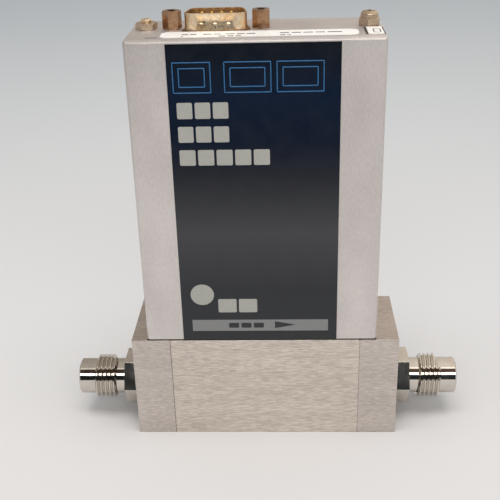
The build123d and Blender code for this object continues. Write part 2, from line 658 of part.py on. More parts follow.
def valve_plunger():
    """The magnetic plunger, with a pocket for the disc below and one for the spring above."""
    body = post(PLUNGER_R, VALVE_X, 0, PLUNGER_BOTTOM_Z, PLUNGER_TOP_Z)
    disc_pocket = post(DISC_R + PLAY, VALVE_X, 0, PLUNGER_BOTTOM_Z, PLUNGER_BOTTOM_Z + DISC_THICKNESS)
    pocket_r = SPRING_COIL_R + SPRING_WIRE_R + RUNNING_PLAY
    spring_pocket = post(pocket_r, VALVE_X, 0, PLUNGER_TOP_Z - SPRING_POCKET_DEPTH, PLUNGER_TOP_Z)
    return body - disc_pocket - spring_pocket


def valve_disc():
    """The sealing disc that closes on the seat's lip."""
    return post(DISC_R, VALVE_X, 0, PLUNGER_BOTTOM_Z, PLUNGER_BOTTOM_Z + DISC_THICKNESS)


def valve_spring():
    """The closing spring between the plunger and the fixed core."""
    low = PLUNGER_TOP_Z - SPRING_POCKET_DEPTH + SPRING_WIRE_R + PLAY
    height = CORE_BOTTOM_Z - SPRING_WIRE_R - PLAY - low
    path = Pos(VALVE_X, 0, low) * Helix(height / SPRING_TURNS, height, SPRING_COIL_R)
    section = Plane(path @ 0, z_dir=path % 0) * Circle(SPRING_WIRE_R)
    return sweep(section, path=path, is_frenet=True)


def valve_sleeve():
    """The valve's flange with the guide tube on it."""
    half_x = VALVE_FLANGE_LENGTH / 2
    half_y = VALVE_FLANGE_DEPTH / 2
    flange = box_between(VALVE_X - half_x, VALVE_X + half_x, -half_y, half_y, BLOCK_HEIGHT,
                         VALVE_FLANGE_TOP_Z)
    flange = fillet(flange.edges().filter_by(Axis.Z), FLANGE_CORNER_R)
    for x, y in valve_screw_places():
        flange = flange - post(SMALL_SCREW_D / 2 + RUNNING_PLAY, x, y, BLOCK_HEIGHT, VALVE_FLANGE_TOP_Z)
    spigot = post(VALVE_CHAMBER_R - PLAY, VALVE_X, 0, BLOCK_HEIGHT - SPIGOT_LENGTH, BLOCK_HEIGHT)
    guide = post(SLEEVE_OUTER_R, VALVE_X, 0, BLOCK_HEIGHT, YOKE_TOP_Z)
    return flange + spigot + guide - post(SLEEVE_INNER_R, VALVE_X, 0, 0, YOKE_TOP_Z)


def valve_core():
    """The fixed core that closes the guide tube, with the stud for the coil's nut."""
    core = post(SLEEVE_INNER_R - PLAY, VALVE_X, 0, CORE_BOTTOM_Z, YOKE_TOP_Z)
    stud = post(VALVE_STUD_R, VALVE_X, 0, YOKE_TOP_Z, YOKE_TOP_Z + VALVE_NUT_HEIGHT + VALVE_STUD_END)
    return core + stud


def coil_bobbin():
    low = VALVE_FLANGE_TOP_Z + YOKE_THICKNESS
    high = YOKE_TOP_Z - YOKE_THICKNESS
    spool = post(BOBBIN_OUTER_R, VALVE_X, 0, low, high)
    spool = spool + post(BOBBIN_FLANGE_R, VALVE_X, 0, low, low + BOBBIN_FLANGE)
    spool = spool + post(BOBBIN_FLANGE_R, VALVE_X, 0, high - BOBBIN_FLANGE, high)
    return spool - post(BOBBIN_INNER_R, VALVE_X, 0, low, high)


def coil_winding():
    low = VALVE_FLANGE_TOP_Z + YOKE_THICKNESS + BOBBIN_FLANGE
    high = YOKE_TOP_Z - YOKE_THICKNESS - BOBBIN_FLANGE
    return tube(WINDING_R, BOBBIN_OUTER_R, VALVE_X, 0, low, high)


def coil_yoke():
    """The steel frame around the coil."""
    half_x = VALVE_FLANGE_LENGTH / 2
    half_y = YOKE_DEPTH / 2
    wall = YOKE_THICKNESS
    frame = box_between(VALVE_X - half_x, VALVE_X + half_x, -half_y, half_y, VALVE_FLANGE_TOP_Z, YOKE_TOP_Z)
    frame = fillet(frame.edges().filter_by(Axis.Y), wall)
    window = box_between(VALVE_X - half_x + wall, VALVE_X + half_x - wall, -half_y, half_y,
                         VALVE_FLANGE_TOP_Z + wall, YOKE_TOP_Z - wall)
    return frame - window - post(SLEEVE_OUTER_R + PLAY, VALVE_X, 0, VALVE_FLANGE_TOP_Z, YOKE_TOP_Z)


def valve_nut():
    nut = Pos(VALVE_X, 0, YOKE_TOP_Z) * hexagon(VALVE_NUT_AF, VALVE_NUT_HEIGHT)
    return nut - post(VALVE_STUD_R + PLAY, VALVE_X, 0, YOKE_TOP_Z, YOKE_TOP_Z + VALVE_NUT_HEIGHT)


def valve_seal():
    return tube(VALVE_CHAMBER_R + SEAL_WIDTH, VALVE_CHAMBER_R + PLAY, VALVE_X, 0, BLOCK_HEIGHT - SEAL_DEPTH,
                BLOCK_HEIGHT)


# ---------------------------------------------------------------- bracket and boards
def board_screw_places():
    """Where the main board is screwed to the bracket's rear flanges: (x, z)."""
    left = BOARD_X0 + BOARD_HOLE_INSET
    right = BOARD_X1 - BOARD_HOLE_INSET
    return [(x, z) for x in (left, right)
            for z in (BOARD_BOTTOM_Z + BOARD_HOLE_INSET, BOARD_TOP_Z - BOARD_HOLE_INSET)]


def bar_y(radius, x, z, y0, y1):
    """A cylinder from front to back."""
    return Pos(x, (y0 + y1) / 2, z) * Rot(90, 0, 0) * Cylinder(radius, y1 - y0)


def jack_places():
    return [(CONNECTOR_X + side * JACK_SPACING / 2, CONNECTOR_Y) for side in (-1, 1)]


def board_bracket():
    """The folded bracket: two feet, two legs, the bridge and two rear flanges."""
    half = BRACKET_THICKNESS / 2
    foot_z = BLOCK_HEIGHT + half
    top_z = BRIDGE_BOTTOM_Z + half
    left = BRACKET_X0 + half
    right = BRACKET_X1 - half
    line = FilletPolyline((BRACKET_X0 + BRACKET_FOOT_LEFT, foot_z), (left, foot_z), (left, top_z),
                          (right, top_z), (right, foot_z), (BRACKET_X1 - BRACKET_FOOT_RIGHT, foot_z),
                          radius=BRACKET_BEND_R)
    strip = Plane.XZ.offset(-BRACKET_BACK_Y) * trace(line, line_width=BRACKET_THICKNESS)
    bracket = extrude(strip, BRACKET_DEPTH)
    wing_y = BRACKET_BACK_Y - BRACKET_THICKNESS
    wing_top = BOARD_TOP_Z
    bracket = bracket + box_between(BRACKET_X0, BRACKET_X0 + BRACKET_FLANGE_WIDTH, wing_y, BRACKET_BACK_Y,
                                    BOARD_BOTTOM_Z, wing_top)
    bracket = bracket + box_between(BRACKET_X1 - BRACKET_FLANGE_WIDTH, BRACKET_X1, wing_y, BRACKET_BACK_Y,
                                    BOARD_BOTTOM_Z, wing_top)
    hole_r = SMALL_SCREW_D / 2 + RUNNING_PLAY
    for x in BRACKET_SCREWS_X:
        for place in bracket_screw_places(x):
            bracket = bracket - post(hole_r, *place, BLOCK_HEIGHT, BLOCK_HEIGHT + BRACKET_THICKNESS)
    for x, z in board_screw_places():
        bracket = bracket - bar_y(hole_r, x, z, wing_y, BRACKET_BACK_Y)
    half_w = REAR_SHELL_WIDTH / 2 + RUNNING_PLAY
    half_d = REAR_SHELL_DEPTH / 2 + RUNNING_PLAY
    bracket = bracket - box_between(CONNECTOR_X - half_w, CONNECTOR_X + half_w, CONNECTOR_Y - half_d,
                                    CONNECTOR_Y + half_d, BRIDGE_BOTTOM_Z, FLANGE_BOTTOM_Z)
    for x, y in jack_places():
        bracket = bracket - post(JACK_THREAD_R + RUNNING_PLAY, x, y, BRIDGE_BOTTOM_Z, FLANGE_BOTTOM_Z)
    notch = FIXING_FOOT_R + 2 * RUNNING_PLAY
    for x in (STUD_X, SPACER_X):
        bracket = bracket - post(FIXING_D / 2 + PLAY, x, FIXING_Y, BRIDGE_BOTTOM_Z, FLANGE_BOTTOM_Z)
        bracket = bracket - box_between(x - notch, x + notch, FIXING_Y - notch, FIXING_Y + notch,
                                        BRIDGE_BOTTOM_Z - FIXING_FOOT_HEIGHT - DRILL_OVERRUN, BRIDGE_BOTTOM_Z)
    return bracket


def bracket_screws():
    seat_z = BLOCK_HEIGHT + BRACKET_THICKNESS
    places = bracket_screw_places(BRACKET_SCREWS_X[0]) + bracket_screw_places(BRACKET_SCREWS_X[1])
    return flange_screws(places, seat_z)


def main_board():
    board = box_between(BOARD_X0, BOARD_X1, BRACKET_BACK_Y, BOARD_BACK_Y, BOARD_BOTTOM_Z, BOARD_TOP_Z)
    for x, z in board_screw_places():
        board = board - bar_y(SMALL_SCREW_D / 2 + RUNNING_PLAY, x, z, BRACKET_BACK_Y, BOARD_BACK_Y)
    return board


def board_screws():
    """Low-headed screws from the front, through the bracket and the board."""
    shank = BRACKET_THICKNESS + BOARD_THICKNESS + SMALL_SCREW_D * SHANK_END_SHARE
    screws = []
    for x, z in board_screw_places():
        screw = cap_screw(SMALL_SCREW_D, shank)
        screws.append(Pos(x, BRACKET_BACK_Y - BRACKET_THICKNESS, z) * Rot(90, 0, 0) * screw)
    return screws


def board_nuts():
    """Thin nuts behind the board."""
    height = SMALL_SCREW_D * NUT_HEIGHT_SHARE
    nuts = []
    for x, z in board_screw_places():
        nut = hexagon(SMALL_SCREW_D * 2, height) - post(SMALL_SCREW_D / 2 + PLAY, 0, 0, 0, height)
        nuts.append(Pos(x, BOARD_BACK_Y, z) * Rot(-90, 0, 0) * nut)
    return nuts


def pin_places():
    """The five-pin row in front and the four-pin row behind it."""
    front = [(CONNECTOR_X + (step - 2) * PIN_PITCH, CONNECTOR_Y - PIN_ROW_GAP / 2) for step in range(5)]
    back = [(CONNECTOR_X + (step - 3 / 2) * PIN_PITCH, CONNECTOR_Y + PIN_ROW_GAP / 2) for step in range(4)]
    return front + back


def connector_board():
    """The small board under the connector, edge-on against the main board."""
    half = CONNECTOR_BOARD_WIDTH / 2
    low = CONNECTOR_BOARD_TOP_Z - BOARD_THICKNESS
    front_y = CONNECTOR_Y - REAR_SHELL_DEPTH / 2 - CONNECTOR_BOARD_MARGIN
    board = box_between(CONNECTOR_X - half, CONNECTOR_X + half, front_y, BRACKET_BACK_Y, low,
                        CONNECTOR_BOARD_TOP_Z)
    for x, y in pin_places():
        board = board - post(PIN_R + PLAY, x, y, low, CONNECTOR_BOARD_TOP_Z)
    return board


def on_board(x, z, width, height, rise):
    """A block standing on the main board's front face."""
    return box_between(x - width / 2, x + width / 2, BRACKET_BACK_Y - rise, BRACKET_BACK_Y, z - height / 2,
                       z + height / 2)


def board_chips():
    return [on_board(BOARD_X0 + along, BOARD_BOTTOM_Z + up, width, height, CHIP_RISE)
            for along, up, width, height in CHIPS]


def board_capacitors():
    """Upright capacitors with a rolled edge."""
    cans = []
    x = BRACKET_X1 - BRACKET_FLANGE_WIDTH - CAPACITOR_R - CAPACITOR_GAP
    for step in range(CAPACITOR_COUNT):
        z = BOARD_TOP_Z - CAPACITOR_TOP_DROP - step * CAPACITOR_PITCH
        can = bar_y(CAPACITOR_R, x, z, BRACKET_BACK_Y - CAPACITOR_RISE, BRACKET_BACK_Y)
        cans.append(fillet(can.edges().filter_by(GeomType.CIRCLE).sort_by(Axis.Y)[0], CAPACITOR_EDGE_R))
    return cans


def trim_pots():
    """Square adjusters with a slotted screw in front."""
    pots = []
    front_y = BRACKET_BACK_Y - TRIM_POT_RISE
    first_x = BRACKET_X0 + BRACKET_FLANGE_WIDTH + TRIM_POT_SIZE / 2 + TRIM_POT_GAP
    z = BOARD_TOP_Z - TRIM_POT_DROP
    for step in range(TRIM_POT_COUNT):
        x = first_x + step * TRIM_POT_PITCH
        pot = on_board(x, z, TRIM_POT_SIZE, TRIM_POT_SIZE, TRIM_POT_RISE)
        pot = pot + bar_y(TRIM_SCREW_R, x, z, front_y - TRIM_SCREW_RISE, front_y)
        slot = box_between(x - TRIM_SCREW_R, x + TRIM_SCREW_R, front_y - TRIM_SCREW_RISE,
                           front_y - TRIM_SLOT, z - TRIM_SLOT, z + TRIM_SLOT)
        pots.append(pot - slot)
    return pots


def board_plugs():
    """The plugs for the sensor's strip and the valve's leads."""
    centre_z = PLUG_BOTTOM_Z + PLUG_HEIGHT / 2
    return [on_board(x, centre_z, PLUG_WIDTH, PLUG_HEIGHT, PLUG_RISE) for x in (SENSOR_X, VALVE_X)]


def sensor_flex():
    """The strip from the sensor can to its plug."""
    low = SENSOR_CAN_TOP_Z + FLEX_THICKNESS / 2
    plug_y = BRACKET_BACK_Y - PLUG_RISE / 2
    line = FilletPolyline((-SENSOR_CAN_DEPTH / 4, low), (plug_y, low), (plug_y, PLUG_BOTTOM_Z),
                          radius=FLEX_BEND_R)
    strip = Plane.YZ.offset(SENSOR_X - FLEX_WIDTH / 2) * trace(line, line_width=FLEX_THICKNESS)
    return extrude(strip, FLEX_WIDTH)


def valve_leads():
    """The coil's two leads, up its side and into their plug."""
    leads = []
    for side in (-1, 1):
        x = VALVE_X + side * LEAD_SPACING / 2
        coil_y = WINDING_R + LEAD_R + PLAY
        plug_y = (YOKE_DEPTH / 2 + BRACKET_BACK_Y) / 2
        low = VALVE_FLANGE_TOP_Z + YOKE_THICKNESS + LEAD_EXIT_HEIGHT
        path = FilletPolyline((x, coil_y, low), (x, coil_y, low + LEAD_RUN), (x, plug_y, low + 2 * LEAD_RUN),
                              (x, plug_y, PLUG_BOTTOM_Z), radius=LEAD_BEND_R)
        leads.append(sweep(Plane((x, coil_y, low)) * Circle(LEAD_R), path=path))
    return leads


# ---------------------------------------------------------------- connector
def d_outline(width, depth, corner_r):
    """The connector's D shape, wide side in front."""
    slope = depth * tan(radians(SHELL_SLOPE_DEG))
    front = -depth / 2
    points = [(-width / 2, front), (width / 2, front), (width / 2 - slope, -front),
              (-width / 2 + slope, -front)]
    face = make_face(Polyline(*points, close=True))
    return fillet(face.vertices(), corner_r)


def d_prism(width, depth, corner_r, z0, z1):
    return Pos(CONNECTOR_X, CONNECTOR_Y, z0) * extrude(d_outline(width, depth, corner_r), z1 - z0)


def connector_shell():
    """The plated shell: rim with dimples, flange and rear skirt."""
    inner_w = SHELL_WIDTH - 2 * SHELL_WALL
    inner_d = SHELL_DEPTH - 2 * SHELL_WALL
    inner_r = SHELL_CORNER_R - SHELL_WALL
    rim = d_prism(SHELL_WIDTH, SHELL_DEPTH, SHELL_CORNER_R, COVER_INNER_TOP_Z, SHELL_RIM_Z)
    half_w = CONNECTOR_FLANGE_WIDTH / 2
    half_d = CONNECTOR_FLANGE_DEPTH / 2
    flange = box_between(CONNECTOR_X - half_w, CONNECTOR_X + half_w, CONNECTOR_Y - half_d,
                         CONNECTOR_Y + half_d, FLANGE_BOTTOM_Z, COVER_INNER_TOP_Z)
    flange = fillet(flange.edges().filter_by(Axis.Z), CONNECTOR_CORNER_R)
    for x, y in jack_places():
        flange = flange - post(JACK_THREAD_R + RUNNING_PLAY, x, y, FLANGE_BOTTOM_Z, COVER_INNER_TOP_Z)
    half_w = REAR_SHELL_WIDTH / 2
    half_d = REAR_SHELL_DEPTH / 2
    skirt = box_between(CONNECTOR_X - half_w, CONNECTOR_X + half_w, CONNECTOR_Y - half_d,
                        CONNECTOR_Y + half_d, REAR_SHELL_BOTTOM_Z, FLANGE_BOTTOM_Z)
    skirt = fillet(skirt.edges().filter_by(Axis.Z), CONNECTOR_CORNER_R)
    shell = rim + flange + skirt
    shell = shell - d_prism(inner_w, inner_d, inner_r, REAR_SHELL_BOTTOM_Z, SHELL_RIM_Z)
    front_y = CONNECTOR_Y - SHELL_DEPTH / 2
    dimple_z = SHELL_RIM_Z - DIMPLE_DROP
    for step in (-1, 0, 1):
        x = CONNECTOR_X + step * DIMPLE_SPACING
        centre_y = front_y - DIMPLE_R + DIMPLE_DEPTH
        bump = Pos(x, centre_y + SHELL_WALL, dimple_z) * Sphere(DIMPLE_R)
        inside = box_between(x - DIMPLE_R, x + DIMPLE_R, front_y + SHELL_WALL / 2, CONNECTOR_Y,
                             dimple_z - DIMPLE_R, dimple_z + DIMPLE_R)
        shell = shell + (bump & inside)
        shell = shell - Pos(x, centre_y, dimple_z) * Sphere(DIMPLE_R)
    return shell


def connector_insulator():
    """The moulded insert that holds the pins."""
    width = SHELL_WIDTH - 2 * (SHELL_WALL + PLAY)
    depth = SHELL_DEPTH - 2 * (SHELL_WALL + PLAY)
    insert = d_prism(width, depth, SHELL_CORNER_R - SHELL_WALL, REAR_SHELL_BOTTOM_Z,
                     COVER_INNER_TOP_Z + INSULATOR_RISE)
    for x, y in pin_places():
        insert = insert - post(PIN_R, x, y, REAR_SHELL_BOTTOM_Z, SHELL_RIM_Z)
    return insert


def connector_pins():
    """Nine round pins with rounded tips, down to the connector board."""
    pins = []
    tip_z = SHELL_RIM_Z - PIN_RIM_GAP
    tail_z = CONNECTOR_BOARD_TOP_Z - BOARD_THICKNESS - PIN_TAIL
    for x, y in pin_places():
        pin = post(PIN_R, x, y, tail_z, tip_z)
        pins.append(fillet(pin.edges().filter_by(GeomType.CIRCLE).sort_by(Axis.Z)[-1], PIN_R * PIN_TIP_SHARE))
    return pins


def jack_screws():
    """Hexagonal jack screws with a threaded socket, clamping cover, connector and bracket."""
    screws = []
    tail_z = BRIDGE_BOTTOM_Z - JACK_NUT_HEIGHT - SHANK_OVERRUN
    for (x, y), turn in zip(jack_places(), JACK_TURNS):
        head = Pos(x, y, COVER_TOP_Z) * Rot(0, 0, turn) * hexagon(JACK_HEX_AF, JACK_HEX_HEIGHT)
        head = head - post(JACK_SOCKET_R, x, y, COVER_TOP_Z + JACK_HEX_HEIGHT - JACK_SOCKET_DEPTH,
                           COVER_TOP_Z + JACK_HEX_HEIGHT)
        screws.append(head + post(JACK_THREAD_R, x, y, tail_z, COVER_TOP_Z))
    return screws


def jack_nuts():
    nuts = []
    for x, y in jack_places():
        nut = Rot(0, 0, 30) * hexagon(JACK_NUT_AF, JACK_NUT_HEIGHT)
        nut = Pos(x, y, BRIDGE_BOTTOM_Z - JACK_NUT_HEIGHT) * nut
        nuts.append(nut - post(JACK_THREAD_R + PLAY, x, y, BRIDGE_BOTTOM_Z - JACK_NUT_HEIGHT,
                               BRIDGE_BOTTOM_Z))
    return nuts


# ---------------------------------------------------------------- cover, its fixings and labels
def cover():
    """One folded sheet, open below, with seams at its four upright corners."""
    half_y = COVER_DEPTH / 2
    side_view = make_face(Polyline((-half_y, COVER_BOTTOM_Z), (half_y, COVER_BOTTOM_Z), (half_y, COVER_TOP_Z),
                                   (-half_y, COVER_TOP_Z), close=True))
    side_view = fillet(side_view.vertices().group_by(Axis.Y)[-1], COVER_BEND_R)
    outer = extrude(Plane.YZ.offset(COVER_X0) * side_view, COVER_X1 - COVER_X0)
    ends = outer.faces().filter_by(Axis.X)
    rims = [edge for face in ends for edge in face.edges()
            if edge.center().Z > COVER_BOTTOM_Z + COVER_EDGE_R]
    outer = fillet(rims, COVER_EDGE_R)
    inner_x0 = COVER_X0 + COVER_WALL
    inner_x1 = COVER_X1 - COVER_WALL
    inner_y = COVER_INNER_Y
    shell = outer - box_between(inner_x0, inner_x1, -inner_y, inner_y, COVER_BOTTOM_Z, COVER_INNER_TOP_Z)
    seam_top = COVER_TOP_Z - 2 * COVER_WALL
    for x0, x1 in ((COVER_X0, inner_x0), (inner_x1, COVER_X1)):
        for y0, y1 in ((-inner_y, -inner_y + COVER_SEAM), (inner_y - COVER_SEAM, inner_y)):
            shell = shell - box_between(x0, x1, y0, y1, COVER_BOTTOM_Z, seam_top)
    width = SHELL_WIDTH + 2 * CUTOUT_MARGIN
    depth = SHELL_DEPTH + 2 * CUTOUT_MARGIN
    shell = shell - d_prism(width, depth, SHELL_CORNER_R, COVER_INNER_TOP_Z, COVER_TOP_Z)
    for x, y in jack_places():
        shell = shell - post(JACK_THREAD_R + RUNNING_PLAY, x, y, COVER_INNER_TOP_Z, COVER_TOP_Z)
    for x in (STUD_X, SPACER_X):
        shell = shell - post(FIXING_D / 2 + RUNNING_PLAY, x, FIXING_Y, COVER_INNER_TOP_Z, COVER_TOP_Z)
    return shell


def cover_washers():
    """Washers that keep the cover level with the connector's flange."""
    return [tube(FIXING_FOOT_R, FIXING_D / 2 + RUNNING_PLAY, x, FIXING_Y, FLANGE_BOTTOM_Z, COVER_INNER_TOP_Z)
            for x in (STUD_X, SPACER_X)]


def cover_stud():
    """A stud pressed into the bracket from below."""
    head = post(FIXING_FOOT_R, STUD_X, FIXING_Y, BRIDGE_BOTTOM_Z - FIXING_FOOT_HEIGHT / 2, BRIDGE_BOTTOM_Z)
    stud = post(FIXING_D / 2, STUD_X, FIXING_Y, BRIDGE_BOTTOM_Z, COVER_TOP_Z + STUD_RISE)
    stud = chamfer(stud.edges().filter_by(GeomType.CIRCLE).sort_by(Axis.Z)[-1], FIXING_D * STUD_TIP_SHARE)
    return head + stud


def fixing_hexagon(x, height, turn):
    """A hexagon on top of the cover, round the stud or the screw."""
    hexagonal = Pos(x, FIXING_Y, COVER_TOP_Z) * Rot(0, 0, turn) * hexagon(FIXING_HEX_AF, height)
    return hexagonal - post(FIXING_D / 2 + PLAY, x, FIXING_Y, COVER_TOP_Z, COVER_TOP_Z + height)


def cover_screw():
    """A domed screw with a cross recess, through the spacer and into the bracket's nut."""
    seat_z = COVER_TOP_Z + SPACER_HEIGHT
    top_z = seat_z + PAN_HEAD_HEIGHT
    head = post(PAN_HEAD_R, SPACER_X, FIXING_Y, seat_z, top_z)
    head = fillet(head.edges().filter_by(GeomType.CIRCLE).sort_by(Axis.Z)[-1],
                  PAN_HEAD_HEIGHT * PAN_ROUND_SHARE)
    half_l = CROSS_LENGTH / 2
    half_w = CROSS_WIDTH / 2
    low = top_z - CROSS_DEPTH
    cross = box_between(SPACER_X - half_l, SPACER_X + half_l, FIXING_Y - half_w, FIXING_Y + half_w, low, top_z)
    cross = cross + box_between(SPACER_X - half_w, SPACER_X + half_w, FIXING_Y - half_l, FIXING_Y + half_l, low,
                                top_z)
    shank = post(FIXING_D / 2, SPACER_X, FIXING_Y, BRIDGE_BOTTOM_Z - FIXING_FOOT_HEIGHT - SHANK_OVERRUN,
                 seat_z)
    return head + shank - cross


def bracket_nut():
    """The round nut pressed into the bracket under the cover screw."""
    return tube(FIXING_FOOT_R, FIXING_D / 2 + PLAY, SPACER_X, FIXING_Y, BRIDGE_BOTTOM_Z - FIXING_FOOT_HEIGHT,
                BRIDGE_BOTTOM_Z)


def front_label():
    front = -COVER_DEPTH / 2
    return box_between(COVER_X0 + FRONT_LABEL_INSET_INLET, COVER_X1 - FRONT_LABEL_INSET_OUTLET,
                       front - LABEL_THICKNESS, front, COVER_BOTTOM_Z + FRONT_LABEL_MARGIN_Z,
                       COVER_TOP_Z - COVER_BEND_R)


def top_label():
    front = -COVER_DEPTH / 2 + TOP_LABEL_INSET_FRONT
    label = box_between(COVER_X0 + TOP_LABEL_INSET_INLET, COVER_X1 - TOP_LABEL_INSET_OUTLET, front,
                        front + TOP_LABEL_DEPTH, COVER_TOP_Z, COVER_TOP_Z + TOP_LABEL_THICKNESS)
    return fillet(label.edges().filter_by(Axis.Z), TOP_LABEL_DEPTH * TOP_LABEL_ROUND_SHARE)


def corner_label():
    edge = COVER_X1 - COVER_EDGE_R
    front = -COVER_DEPTH / 2 + CORNER_LABEL_INSET_FRONT
    back = FIXING_Y - FIXING_HEX_AF / 2 - CORNER_LABEL_GAP
    return box_between(edge - CORNER_LABEL_WIDTH, edge, front, back, COVER_TOP_Z,
                       COVER_TOP_Z + TOP_LABEL_THICKNESS)


# ---------------------------------------------------------------- write every node
os.makedirs("parts", exist_ok=True)

write_node("main_block", main_block())
write_node("inlet_end_block", end_block(-1))
write_node("outlet_end_block", end_block(1))
write_node("inlet_block_screws", *clamp_screws(-1))
write_node("outlet_block_screws", *clamp_screws(1))
write_node("inlet_fitting", fitting(-1))
write_node("outlet_fitting", fitting(1))
write_node("fitting_seals", *fitting_seals())
write_node("end_block_seals", *end_block_seals())
write_node("inlet_filter", inlet_filter())
write_node("bypass_element", bypass_element())
write_node("bypass_retainer", bypass_retainer())
write_node("sensor_flange", sensor_flange())
write_node("sensor_tube", sensor_tube())
write_node("sensor_windings", *sensor_windings())
write_node("sensor_insulation", *sensor_insulation())
write_node("sensor_can", sensor_can())
write_node("sensor_seals", *sensor_seals())
write_node("sensor_screws", *flange_screws(sensor_screw_places(), SENSOR_FLANGE_TOP_Z))
write_node("sensor_flex", sensor_flex())
write_node("valve_seat", valve_seat())
write_node("valve_plunger", valve_plunger())
write_node("valve_disc", valve_disc())
write_node("valve_spring", valve_spring())
write_node("valve_sleeve", valve_sleeve())
write_node("valve_core", valve_core())
write_node("coil_bobbin", coil_bobbin())
write_node("coil_winding", coil_winding())
write_node("coil_yoke", coil_yoke())
write_node("valve_nut", valve_nut())
write_node("valve_seal", valve_seal())
write_node("valve_screws", *flange_screws(valve_screw_places(), VALVE_FLANGE_TOP_Z))
write_node("valve_leads", *valve_leads())
write_node("board_bracket", board_bracket())
write_node("bracket_screws", *bracket_screws())
write_node("bracket_nut", bracket_nut())
write_node("main_board", main_board())
write_node("board_screws", *board_screws())
write_node("board_nuts", *board_nuts())
write_node("connector_board", connector_board())
write_node("board_chips", *board_chips())
write_node("board_capacitors", *board_capacitors())
write_node("trim_pots", *trim_pots())
write_node("board_plugs", *board_plugs())
write_node("connector_shell", connector_shell())
write_node("connector_insulator", connector_insulator())
write_node("connector_pins", *connector_pins())
write_node("jack_screws", *jack_screws())
write_node("jack_nuts", *jack_nuts())
write_node("cover", cover())
write_node("cover_washers", *cover_washers())
write_node("cover_stud", cover_stud())
write_node("cover_nut", fixing_hexagon(STUD_X, COVER_NUT_HEIGHT, NUT_TURN))
write_node("cover_spacer", fixing_hexagon(SPACER_X, SPACER_HEIGHT, SPACER_TURN))
write_node("cover_screw", cover_screw())
write_node("front_label", front_label())
write_node("top_label", top_label())
write_node("corner_label", corner_label())
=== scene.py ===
# %% [markdown]
# # A thermal mass flow controller
# This device meters process gas. A steel base carries the gas from the inlet on the left to the outlet on
# the right, and a folded sheet cover above it hides the sensor, the valve and the boards. The construction
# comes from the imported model, which stays as it is: this lesson dresses it with bevels, threads, print and
# finishes.

# %% Load the model
import json
import math

import bmesh
import bpy
from mathutils import Matrix, Vector


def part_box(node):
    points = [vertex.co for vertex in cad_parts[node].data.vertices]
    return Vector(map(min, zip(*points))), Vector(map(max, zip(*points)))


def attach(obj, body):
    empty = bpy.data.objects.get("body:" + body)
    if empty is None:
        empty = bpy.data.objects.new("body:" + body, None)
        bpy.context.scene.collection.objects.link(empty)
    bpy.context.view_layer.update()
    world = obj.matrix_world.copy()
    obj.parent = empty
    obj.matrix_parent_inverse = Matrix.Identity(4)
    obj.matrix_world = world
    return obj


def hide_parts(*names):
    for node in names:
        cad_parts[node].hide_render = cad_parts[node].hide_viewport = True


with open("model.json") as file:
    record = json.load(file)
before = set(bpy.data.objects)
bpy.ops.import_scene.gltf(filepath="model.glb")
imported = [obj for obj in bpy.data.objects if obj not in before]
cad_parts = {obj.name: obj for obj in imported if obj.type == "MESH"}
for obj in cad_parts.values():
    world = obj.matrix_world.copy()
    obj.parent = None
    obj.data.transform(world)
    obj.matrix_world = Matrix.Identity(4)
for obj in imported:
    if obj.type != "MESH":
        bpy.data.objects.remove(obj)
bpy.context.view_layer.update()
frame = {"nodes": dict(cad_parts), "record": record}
cad_nodes = frame["nodes"]
HOUSING = "housing"
MM = 0.001

# %% [markdown]
# ## Small helpers
# Colours are written as sRGB hex values, as a paint chart gives them, and one function turns them to the
# linear values that the renderer wants. Another function adds any node with its settings and links.


# %% Colour and node helpers
def linear(hex_colour):
    """An sRGB hex colour as linear red, green, blue and alpha."""
    values = [int(hex_colour[i:i + 2], 16) / 255 for i in (1, 3, 5)]
    return [v / 12.92 if v <= 0.04045 else ((v + 0.055) / 1.055) ** 2.4 for v in values] + [1.0]


def add(tree, kind, inputs=None, **settings):
    """Adds one node, with its settings and with its inputs as values or as links."""
    node = tree.nodes.new(kind)
    for name, value in settings.items():
        setattr(node, name, value)
    for key, value in (inputs or {}).items():
        if isinstance(value, bpy.types.NodeSocket):
            tree.links.new(value, node.inputs[key])
        else:
            node.inputs[key].default_value = value
    return node


def maths(tree, operation, first, second):
    """One sum on two values, each a number or a link."""
    return add(tree, "ShaderNodeMath", {0: first, 1: second}, operation=operation).outputs[0]


def fill_ramp(ramp, stops):
    """Sets a colour ramp from its stops, each a position and a hex colour."""
    elements = ramp.color_ramp.elements
    for element, (position, colour) in ((elements[0], stops[0]), (elements[1], stops[-1])):
        element.position = position
        element.color = linear(colour)
    for position, colour in stops[1:-1]:
        elements.new(position).color = linear(colour)


def new_object(name, mesh):
    """A new object at the origin, whose place is in its mesh."""
    piece = bpy.data.objects.new(name, mesh)
    bpy.context.scene.collection.objects.link(piece)
    return piece


# %% [markdown]
# ## Camera
# The camera stands in front of the device and looks down on it by 25 degrees. Its place and turns were
# worked out from the sizes of the fittings, the base and the cover, so the view has their perspective.

# %% Camera
FRAME_PIXELS = 500
FOCAL_PIXELS = 875.7
SENSOR_WIDTH = 36.0
CAMERA_PLACE = Vector((7.092, -247.389, 175.250)) * MM
CAMERA_YAW = math.radians(-2.656)
CAMERA_PITCH = math.radians(25.17)
CAMERA_ROLL = math.radians(-1.605)

camera_data = bpy.data.cameras.new("camera")
camera_data.sensor_width = SENSOR_WIDTH
camera_data.lens = FOCAL_PIXELS * SENSOR_WIDTH / FRAME_PIXELS
camera_data.clip_start = 0.01
camera_data.clip_end = 50.0
camera = bpy.data.objects.new("camera", camera_data)
bpy.context.scene.collection.objects.link(camera)
bpy.context.scene.camera = camera

